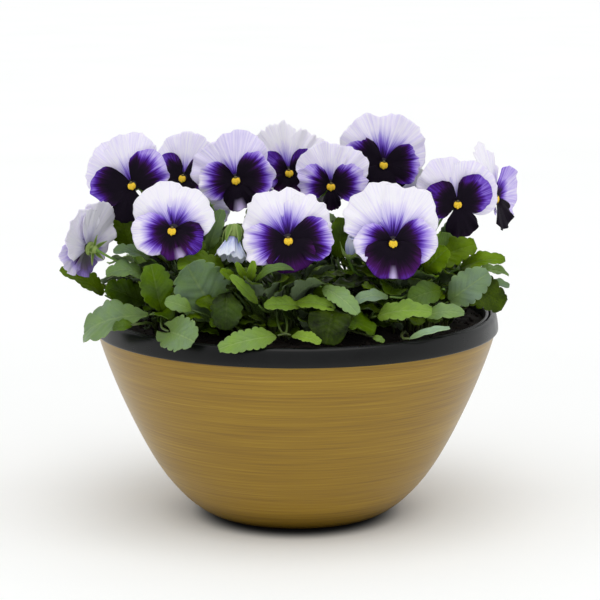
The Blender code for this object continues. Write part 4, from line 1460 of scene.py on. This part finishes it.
class PLANTER_OT_studio(bpy.types.Operator):
    """Lay the pale floor and set the lights and the camera"""
    bl_idname = "planter.studio"
    bl_label = "Studio"

    def execute(self, context):
        settings = context.scene.studio_settings
        bm = bmesh.new()
        bmesh.ops.create_grid(bm, x_segments=1, y_segments=1, size=20)
        mesh = bpy.data.meshes.new("paper_floor")
        bm.to_mesh(mesh)
        bm.free()
        mesh.materials.append(bpy.data.materials["seamless_paper"])
        floor = bpy.data.objects.new("paper_floor", mesh)
        context.scene.collection.objects.link(floor)

        context.scene.world = studio_world()
        lamp = bpy.data.lights.new("overhead_box", "SUN")
        lamp.energy = settings.overhead
        lamp.angle = math.radians(50)
        lamp.color = (1.0, 0.985, 0.955)
        light = bpy.data.objects.new("overhead_box", lamp)
        light.rotation_euler = Vector(LAMP_WAY).to_track_quat("Z", "Y").to_euler()
        context.scene.collection.objects.link(light)

        camera = bpy.data.cameras.new("camera")
        camera.lens = settings.lens
        camera.sensor_width = 36.0
        viewer = bpy.data.objects.new("camera", camera)
        level, drop = math.cos(settings.elevation), math.sin(settings.elevation)
        viewer.location = (AIM_X, -settings.distance * level, AIM_Z + settings.distance * drop)
        viewer.rotation_euler = (math.pi / 2 - settings.elevation, 0, 0)
        context.scene.collection.objects.link(viewer)
        context.scene.camera = viewer
        context.scene.view_settings.view_transform = "Standard"
        return {"FINISHED"}


OPERATORS = (
    PLANTER_OT_finishes, PLANTER_OT_pot, PLANTER_OT_soil, PLANTER_OT_stalks, PLANTER_OT_blooms,
    PLANTER_OT_buds, PLANTER_OT_leaves, PLANTER_OT_inner_leaves, PLANTER_OT_studio,
)


class PLANTER_PT_panel(bpy.types.Panel):
    """Buttons that build the planter, in order"""
    bl_idname = "PLANTER_PT_panel"
    bl_label = "Potted pansy planter"
    bl_space_type = "VIEW_3D"
    bl_region_type = "UI"
    bl_category = "Planter"

    def draw(self, context):
        for name, group in SETTINGS.items():
            box = self.layout.box()
            for setting in group.__annotations__:
                box.prop(getattr(context.scene, name), setting)
        for operator in OPERATORS:
            self.layout.operator(operator.bl_idname)


def register():
    for group in SETTINGS.values():
        bpy.utils.register_class(group)
    for operator in OPERATORS:
        bpy.utils.register_class(operator)
    bpy.utils.register_class(PLANTER_PT_panel)
    for name, group in SETTINGS.items():
        setattr(bpy.types.Scene, name, bpy.props.PointerProperty(type=group))


def unregister():
    for name in SETTINGS:
        delattr(bpy.types.Scene, name)
    bpy.utils.unregister_class(PLANTER_PT_panel)
    for operator in reversed(OPERATORS):
        bpy.utils.unregister_class(operator)
    for group in reversed(SETTINGS.values()):
        bpy.utils.unregister_class(group)


def main():
    register()
    bpy.ops.planter.finishes()
    bpy.ops.planter.pot()
    bpy.ops.planter.soil()
    bpy.ops.planter.stalks()
    bpy.ops.planter.blooms()
    bpy.ops.planter.buds()
    bpy.ops.planter.leaves()
    bpy.ops.planter.inner_leaves()
    bpy.ops.planter.studio()


if __name__ == "__main__":
    main()
